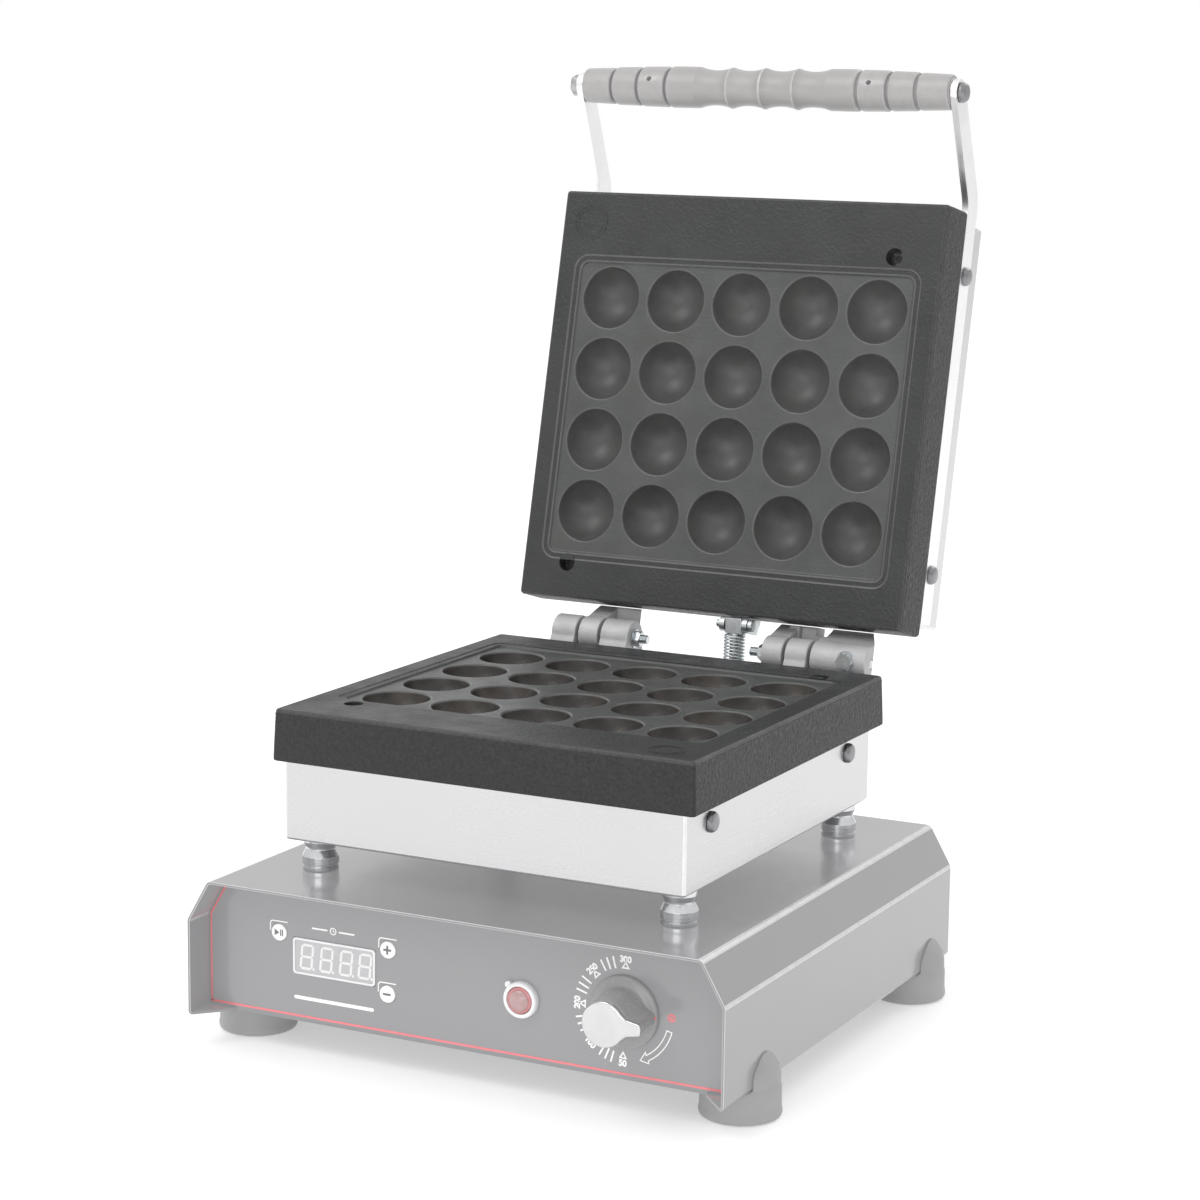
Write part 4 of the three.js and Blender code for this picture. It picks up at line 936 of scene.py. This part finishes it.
rod_prof = rnd([(0, -133.5, 0), (3.9, -133.5, 0.7), (3.9, 128.3, 0), (6.2, 128.3, 0.2), (6.2, 129.8, 0.6), (5.0, 132.0, 1.4), (0, 132.8, 0)], 0.3, 5, closed=False)
done(make("grip_rod", lathe(rod_prof, 48, "X", (-33.6, 193.1))), "lid", BOLT, "handle_rod", lid=True)
nut = bevel(make("grip_nut", prism(circ(-33.6, 193.1, 6.9, 6), -133.2, -128.3, "X", [circ(-33.6, 193.1, 4.05, 36)])), 0.5, 2, 50)
done(nut, "lid", BOLT, "handle_nut", lid=True)

# ---------------------------------------------------------------- grip
half = []                      # (|x|, r) from the middle out


def scallop(c0, c1, r_hi, r_lo, n=9):
    """Concave run between two ridges."""
    w, h = (c1 - c0) / 2, r_hi - r_lo
    R_ = (w * w + h * h) / (2 * h)
    return [((c0 + c1) / 2 + u * w, r_lo + (R_ - math.sqrt(R_ * R_ - (u * w) ** 2))) for u in [-0.93 + 1.86 * k / (n - 1) for k in range(n)]]


half.append((0, 12.62))
half.append((0.7, 12.55))
half += scallop(0, 22, 12.6, 10.75)
half += [(21.5, 12.55), (22, 12.62), (22.7, 12.55)]
half += scallop(22, 44, 12.6, 10.8)
half += [(43.6, 12.5), (44.3, 12.68), (45.2, 12.74), (54, 12.8)]


def shoulder(x0, x1, r0, r1, rad=1.7, lo=10.4):
    """A ring with rounded shoulders between two grooves."""
    return rnd([(x0, lo - 0.6, 0.2), (x0, r0, rad), (x1, r1, rad), (x1, lo - 0.6, 0.2)], 1, 5, closed=False)


def head_of(x1, r, rad, lo):
    return [(x1 - rad + rad * math.sin(a * DEG), r - rad + rad * math.cos(a * DEG)) for a in (0, 18, 36, 54, 72, 90)] + [(x1, lo)]


half += head_of(63.5, 12.8, 1.7, 10.6)
half += shoulder(65.3, 83.0, 12.6, 12.35, 2.2, 10.6)
half += shoulder(85.0, 101.4, 12.1, 11.7, 2.2, 10.4)
half += shoulder(103.4, 122.9, 11.35, 10.7, 2.2, 9.6)[:-1]
half += [(122.9, 8.6), (123.4, 8.2), (123.4, 6.8), (122.0, 6.4), (122.0, 4.45)]
prof = [(r, -x) for x, r in reversed(half[1:])] + [(r, x) for x, r in half]
prof += [(4.45, 0.0)]
grip = make("handle_grip_barrel", lathe(prof, 72, "X", (-33.6, 193.1), closed=True))
pins = []
for x in (-75.2, 72.6):
    a = (180 + 24.5 * -1 - 0) * DEG   # open-frame direction: to the front, 24.5 degrees up
    dirv = Vector((0, -math.cos(24.5 * DEG), math.sin(24.5 * DEG)))
    dirc = Matrix.Rotation(LID_OPEN * DEG, 3, "X") @ dirv
    m = Matrix.Translation((x, -33.6, 193.1)) @ dirc.to_track_quat("Z", "Y").to_matrix().to_4x4()
    pins.append(moved(lathe([(0, 9.6), (1.5, 9.6), (1.5, 11.9), (2.0, 13.2), (2.0, 14.5), (0, 14.5)], 24), m))
grip = boolean(grip, make("pin_tool", *pins))
done(grip, "lid", GRIP, "handle_grip", lid=True, angle=42)

# ---------------------------------------------------------------- hinges
KR, YW, YP = 11.0, 286.5, 293.3


def arcp(r, a0, a1, n):
    return [(HY + r * math.cos((a0 + (a1 - a0) * i / n) * DEG), HZ + r * math.sin((a0 + (a1 - a0) * i / n) * DEG)) for i in range(n + 1)]


def casting(name, parts, holes, body, node, lid, size=0.62):
    o = make(name, *parts)
    o = voxel(o, size, 5, 0.5)
    for h in holes:
        o = boolean(o, make("bore_tool", h))
    done(o, body, HINGE, node, lid=lid, angle=50, weighted=False)


base_k = [(YW + 0.3, 122), (YW + 0.3, 157.6), (YP + 0.3, 160.4), (YP + 0.3, 178)] + arcp(KR, 180, 0, 20) + [(HY + KR, 180), (YW + 10, 122)]
base_w = [(YW + 0.3, 122), (YW + 0.3, 157.6), (YP + 0.3, 160.4), (YP + 0.3, 175.5), (HY - 2, 175.5), (HY + 3, 172), (YW + 10, 122)]
pin_bore = lathe([(0, -130), (3.3, -130), (3.3, 130), (0, 130)], 36, "X", (HY, HZ))
casting("hinge_bracket_left", [prism(base_w, -98, -45, "X"), prism(base_k, -98, -81.6, "X"), prism(base_k, -64, -45, "X")], [pin_bore], "base", "hinge_base_left", False)
casting("hinge_bracket_right", [prism(base_w, 46, 112, "X"), prism(base_k, 60.6, 75, "X"),
                                prism([(YW + 0.3, 140), (YP + 0.3, 158), (HY + 2, 170), (YW + 9, 128)], 84, 90, "X")], [pin_bore], "base", "hinge_base_right", False)

lid_k = arcp(KR, 180, 360, 20) + [(HY + KR, 198), (YP + 12, 220), (YP + 0.3, 220), (YP + 0.3, 208)]
lid_f = [(YP + 0.3, 206.5), (YP + 0.3, 220), (YP + 10, 220), (YP + 12, 206.5)]


def flank(x):
    """Cut that leans a casting's right flank in, away from the axis."""
    return prism([(x, 194), (x + 30, 194), (x + 30, 262), (x - 34, 262)], YP - 2, HY + 20, "Y")


casting("hinge_leaf_left", [prism(lid_f, -67, -43.5, "X"), prism(lid_k, -79.4, -66.2, "X")], [pin_bore, flank(-43.2)], "lid", "hinge_lid_left", True)
notch = prism([(69.4, 290), (80.2, 290), (80.2, 298.9), (69.4, 298.9)], 190, 223.5)
clamp_bore = moved(lathe([(0, -14), (3.2, -14), (3.2, -2.5), (0, -2.5)], 28, "Y", (100.3, 2)), Matrix.Translation((0, HY, HZ)) @ Matrix.Rotation(LID_OPEN * DEG, 4, "X"))
shoulder_r = [(45.2, 312), (45.2, 307), (50.0, 302.5), (53, 299.5), (53, 293.8), (60, 293.8), (60, 312)]
casting("hinge_leaf_right", [prism(lid_f, 53, 113, "X"), prism(lid_k, 45, 58.6, "X"), prism(lid_k, 77, 113, "X"), prism(shoulder_r, 203, 214)],
        [pin_bore, notch, clamp_bore, flank(113.2)], "lid", "hinge_lid_right", True)


def threaded(r, x0, x1, c, pitch=0.9, depth=0.28, n=28, axis="X"):
    """Shank end with thread rings."""
    pr = [(0, x0), (r - 0.5, x0), (r, x0 + 0.4 * (1 if x1 > x0 else -1))]
    s = 1 if x1 > x0 else -1
    k, x = int(abs(x1 - x0) / pitch) - 1, x0 + 0.5 * s
    for _ in range(max(k, 0)):
        pr += [(r, x), (r - depth, x + s * pitch * 0.5), (r, x + s * pitch * 0.95)]
        x += s * pitch
    pr += [(r, x1), (0, x1)]
    return lathe(pr, n, axis, c)


def hexnut(x0, x1, c, r, hole=0.0, axis="X", n=6):
    """Hexagon with chamfered corners: a hex prism cut by a cone, approximated ring by ring."""
    s = 1 if x1 > x0 else -1
    n_ = 60

    def ring(rmax, x):
        out = []
        for i in range(n_):
            a = 2 * math.pi * i / n_
            t = ((a + math.pi / 6) % (math.pi / 3)) - math.pi / 6
            rr = min(r * math.cos(math.pi / 6) / math.cos(t), rmax)
            out.append(to3(axis, c[0] + rr * math.cos(a + math.pi / 6), c[1] + rr * math.sin(a + math.pi / 6), x))
        return out
    return loft([ring(r * 0.86, x0), ring(r, x0 + s * 0.6), ring(r, x1 - s * 0.6), ring(r * 0.86, x1)])


HC = (HY, HZ)
done(make("hinge_bolt_left", lathe(rnd([(0, -97.8, 0), (2.95, -97.8, 0.5), (2.95, -44.9, 0), (0, -44.9, 0)], 0.3, 4, closed=False), 40, "X", HC),
          hexnut(-44.3, -40.2, HC, 5.2), threaded(2.85, -36.0, -41, HC),
          lathe(rnd([(0, -44.8, 0), (5.9, -44.8, 0.2), (5.9, -44.2, 0.2), (0, -44.2, 0)], 0.2, 2, closed=False), 40, "X", HC)),
     "base", ZINC, "hinge_pin_left")
done(make("hinge_bolt_right", threaded(2.85, 33.8, 41, HC), hexnut(40, 44.4, HC, 5.2),
          lathe([(0, 44.3), (2.95, 44.3), (2.95, 112.4), (2.6, 112.8), (0, 112.8)], 36, "X", HC)),
     "lid", ZINC, "hinge_pin_right", lid=True)
clamp_m = Matrix.Translation((0, HY, HZ)) @ Matrix.Rotation(LID_OPEN * DEG, 4, "X")
done(make("hinge_clamp_bolt", moved(hexnut(-13.3, -9.4, (100.3, 2), 5.6, axis="Y"), clamp_m), moved(lathe([(0, -9.8), (2.9, -9.8), (2.9, -1.6), (0, -1.6)], 28, "Y", (100.3, 2)), clamp_m),
          moved(lathe(rnd([(0, -9.7, 0), (6.3, -9.7, 0.2), (6.3, -9.0, 0.2), (0, -9.0, 0)], 0.2, 2, closed=False), 36, "Y", (100.3, 2)), clamp_m)),
     "lid", ZINC, "hinge_clamp_screw", lid=True)

# ---------------------------------------------------------------- balance spring
SX = 22.0
AY, AZ = HY + 15 * math.cos(80 * DEG), HZ + 15 * math.sin(80 * DEG)
ACY, ACZ = HY + 15 * math.cos((80 + LID_OPEN) * DEG), HZ + 15 * math.sin((80 + LID_OPEN) * DEG)
tilt = math.atan2(312 - AY, AZ - 147.5)
rod_len = math.hypot(AY - 312, AZ - 147.5)
ROD = Matrix.Translation((0, AY, AZ)) @ Matrix.Rotation(tilt, 4, "X")
eye = make("balance_eye", prism(rrect(SX - 5.4, SX + 5.4, -3.5, 3.5, 0.5, 3), -5, 4.5))
eye = bevel(eye, 0.6, 2, 50)
eye = boolean(eye, make("eye_tool", lathe([(0, SX - 8), (2.6, SX - 8), (2.6, SX + 8), (0, SX + 8)], 28, "X", (0, 0))))
ev = [tuple(v.co) for v in eye.data.vertices], [tuple(f.vertices) for f in eye.data.polygons]
bpy.data.objects.remove(eye)
rod = make("balance_rod_bar", moved(ev, ROD), moved(lathe([(0, -4.6), (3.0, -4.6), (3.0, -58), (0, -58)], 32, "Z", (SX, 0)), ROD),
           moved(threaded(3.0, -76, -57.8, (SX, 0), 1.0, 0.3, 32, "Z"), ROD))
done(rod, "balance_rod", ZINC, "spring_rod")
rnut = make("balance_rod_locknut", moved(hexnut(-rod_len - 8.3, -rod_len - 3.3, (SX, 0), 6.2, axis="Z"), ROD),
            moved(lathe([(0, -rod_len - 9.2), (3.9, -rod_len - 9.2), (4.4, -rod_len - 8.2), (0, -rod_len - 8.2)], 32, "Z", (SX, 0)), ROD))
done(rnut, "balance_rod", ZINC, "spring_rod_nut")

z_top, z_bot, turns, rm, rw = -5.9, -rod_len + 3.2, 26.0, 6.1, 0.62
pts = []
steps = int(turns * 30)
for i in range(steps + 1):
    u = i / steps
    k = u * turns
    dead = 1.2                    # closed end turns
    live = turns - 2 * dead
    if k < dead:
        zz = z_top - k * rw * 2
    elif k > turns - dead:
        zz = z_bot + (turns - k) * rw * 2
    else:
        za, zb = z_top - dead * rw * 2, z_bot + dead * rw * 2
        zz = za + (zb - za) * (k - dead) / live
    a = 2 * math.pi * k
    pts.append(ROD @ Vector((SX + rm * math.cos(a), rm * math.sin(a), zz)))
spring = make("balance_spring", tube(pts, rw, 10))
done(spring, "balance_rod", SPRING, "counter_spring", weighted=False, angle=60)
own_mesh(spring)

seat_l = rnd([(YW + 0.1, 122, 0.3), (YW + 3, 122, 0.3), (YW + 3, 146.5, 1.2), (324, 146.5, 0.6), (324, 149.5, 0.6), (YW + 0.1, 149.5, 3.2)], 0.3, 4)
seat = bevel(make("balance_seat", prism(seat_l, 6, 38, "X")), 0.35, 2, 50)
seat = boolean(seat, make("slot_tool", prism(rrect(SX - 3.7, SX + 3.7, 304.6, 316.6, 3.6, 6), 140, 155)))
gus = bevel(make("gusset", prism([(YW + 2, 124), (YW + 2, 147), (318, 147)], 6, 9, "X"), prism([(YW + 2, 124), (YW + 2, 147), (318, 147)], 35, 38, "X")), 0.3, 2, 50)
gv = [tuple(v.co) for v in gus.data.vertices], [tuple(f.vertices) for f in gus.data.polygons]
sv = [tuple(v.co) for v in seat.data.vertices], [tuple(f.vertices) for f in seat.data.polygons]
bpy.data.objects.remove(gus), bpy.data.objects.remove(seat)
done(make("balance_seat", sv, gv), "base", ZINC, "spring_seat")

ear = [(ACY + 4.6 * math.cos((180 + 180 * i / 12) * DEG), ACZ + 4.6 * math.sin((180 + 180 * i / 12) * DEG)) for i in range(13)]
ear += [(ACY + 5.0, 205), (YP + 0.1, 209), (YP + 0.1, 200)]
hole = circ(ACY, ACZ, 2.6, 28)
lug = bevel(make("balance_lug", prism(ear, SX - 9.2, SX - 5.8, "X", [hole]), prism(ear, SX + 5.8, SX + 9.2, "X", [hole])), 0.35, 2, 40)
web = bevel(make("lug_web", prism(rrect(SX - 9.0, SX + 9.0, YP + 0.1, YP + 3, 0.4, 2), 203, 209)), 0.3, 2, 50)
lv = [tuple(v.co) for v in lug.data.vertices], [tuple(f.vertices) for f in lug.data.polygons]
wv = [tuple(v.co) for v in web.data.vertices], [tuple(f.vertices) for f in web.data.polygons]
bpy.data.objects.remove(lug), bpy.data.objects.remove(web)
done(make("balance_lug", lv, wv), "lid", ZINC, "spring_lug", lid=True)
done(make("balance_cross_pin", lathe(rnd([(0, SX - 12, 0), (2.35, SX - 12, 0.5), (2.35, SX + 9.5, 0), (4, SX + 9.5, 0.2), (4, SX + 12.3, 0.8), (0, SX + 12.3, 0)], 0.3, 4, closed=False), 32, "X", (ACY, ACZ))),
     "lid", ZINC, "spring_cross_pin", lid=True)


# ---------------------------------------------------------------- studio
def stage_plane():
    n = 8
    v = [((i / n - 0.5) * 14, (j / n - 0.5) * 14, 0) for j in range(n + 1) for i in range(n + 1)]
    f = [(j * (n + 1) + i, j * (n + 1) + i + 1, (j + 1) * (n + 1) + i + 1, (j + 1) * (n + 1) + i) for j in range(n) for i in range(n)]
    me = bpy.data.meshes.new("studio_floor")
    me.from_pydata(v, [], f)
    o = bpy.data.objects.new("studio_floor", me)
    bpy.context.scene.collection.objects.link(o)
    o.location.z = -0.0002
    m = material("studio_white", (0.8, 0.8, 0.8, 1), 0.7, var=0.004, var_scale=1.5, rough_var=0.03, spec=0.2)
    p = next(n for n in m.node_tree.nodes if n.type == "BSDF_PRINCIPLED")
    p.inputs["Emission Color"].default_value = (1, 1, 1, 1)
    p.inputs["Emission Strength"].default_value = 0.32
    me.materials.append(m)
    o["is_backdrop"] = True


stage_plane()

world = bpy.data.worlds.new("studio")
bpy.context.scene.world = world
world.use_nodes = True
nt = world.node_tree
N, L = nt.nodes, nt.links
N.clear()
wout = N.new("ShaderNodeOutputWorld")
bg_cam, bg_lit = N.new("ShaderNodeBackground"), N.new("ShaderNodeBackground")
bg_cam.inputs[0].default_value = (1, 1, 1, 1)
bg_cam.inputs[1].default_value = 1.0
lp, mx = N.new("ShaderNodeLightPath"), N.new("ShaderNodeMixShader")
L.new(lp.outputs["Is Camera Ray"], mx.inputs[0])
L.new(bg_lit.outputs[0], mx.inputs[1])
L.new(bg_cam.outputs[0], mx.inputs[2])
L.new(mx.outputs[0], wout.inputs[0])
wtc, sep = N.new("ShaderNodeTexCoord"), N.new("ShaderNodeSeparateXYZ")
L.new(wtc.outputs["Generated"], sep.inputs[0])
zr = N.new("ShaderNodeMapRange")
zr.inputs[1].default_value, zr.inputs[2].default_value, zr.inputs[3].default_value, zr.inputs[4].default_value = -0.2, 1.0, 0.72, 1.02
L.new(sep.outputs[2], zr.inputs[0])


def flag(ax, lo, hi, depth):
    """A soft dark card on the horizon around direction ax."""
    d = N.new("ShaderNodeVectorMath")
    d.operation = "DOT_PRODUCT"
    L.new(wtc.outputs["Generated"], d.inputs[0])
    v = Vector(ax).normalized()
    d.inputs[1].default_value = v
    r = N.new("ShaderNodeMapRange")
    r.interpolation_type = "SMOOTHSTEP"
    r.inputs[1].default_value, r.inputs[2].default_value = lo, hi
    r.inputs[3].default_value, r.inputs[4].default_value = 1.0, depth
    L.new(d.outputs["Value"], r.inputs[0])
    return r.outputs[0]


cur = zr.outputs[0]
for ax, lo, hi, depth in (((0.95, -0.30, 0.05), 0.86, 0.97, 0.62), ((-0.80, -0.58, 0.1), 0.955, 0.985, 0.75)):
    m = N.new("ShaderNodeMath")
    m.operation = "MULTIPLY"
    L.new(cur, m.inputs[0])
    L.new(flag(ax, lo, hi, depth), m.inputs[1])
    cur = m.outputs[0]
L.new(cur, bg_lit.inputs[1])
bg_lit.inputs[0].default_value = (1, 1, 1, 1)


def area(name, loc, target, size, power, size_y=None):
    l = bpy.data.lights.new(name, "AREA")
    l.shape = "RECTANGLE"
    l.size, l.size_y = size, size_y or size
    l.energy = power
    o = bpy.data.objects.new(name, l)
    bpy.context.scene.collection.objects.link(o)
    o.location = loc
    o.rotation_euler = (Vector(target) - Vector(loc)).to_track_quat("-Z", "Y").to_euler()
    return o


area("key", (-0.9, -1.5, 2.5), (0, 0, 0.25), 1.6, 19)
area("front", (0.5, -2.6, 0.5), (0, 0, 0.25), 1.8, 9, 0.7)
area("rim", (0.6, 2.2, 1.9), (0, 0, 0.3), 1.6, 12)

cam_d = bpy.data.cameras.new("camera")
cam = bpy.data.objects.new("camera", cam_d)
bpy.context.scene.collection.objects.link(cam)
bpy.context.scene.camera = cam
az, el, roll, dist = 27.15 * DEG, 10.21 * DEG, 0.70 * DEG, 1.7694
tgt = Vector((0.00019, -0.0445, 0.2422))
dv = Vector((math.sin(az) * math.cos(el), -math.cos(az) * math.cos(el), math.sin(el)))
fwd = -dv
right = fwd.cross(Vector((0, 0, 1))).normalized()
upv = right.cross(fwd).normalized()
r2 = right * math.cos(roll) + upv * math.sin(roll)
u2 = -right * math.sin(roll) + upv * math.cos(roll)
pos = tgt + dv * dist
cam.matrix_world = Matrix(((r2.x, u2.x, -fwd.x, pos.x), (r2.y, u2.y, -fwd.y, pos.y), (r2.z, u2.z, -fwd.z, pos.z), (0, 0, 0, 1)))
cam_d.sensor_fit, cam_d.sensor_width, cam_d.lens = "HORIZONTAL", 36.0, 92.76
cam_d.clip_start, cam_d.clip_end = 0.05, 60

bpy.context.scene.view_settings.view_transform = "Standard"
bpy.context.scene.view_settings.look = "None"
bpy.context.scene.view_settings.exposure = 0.0

lo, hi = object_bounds()
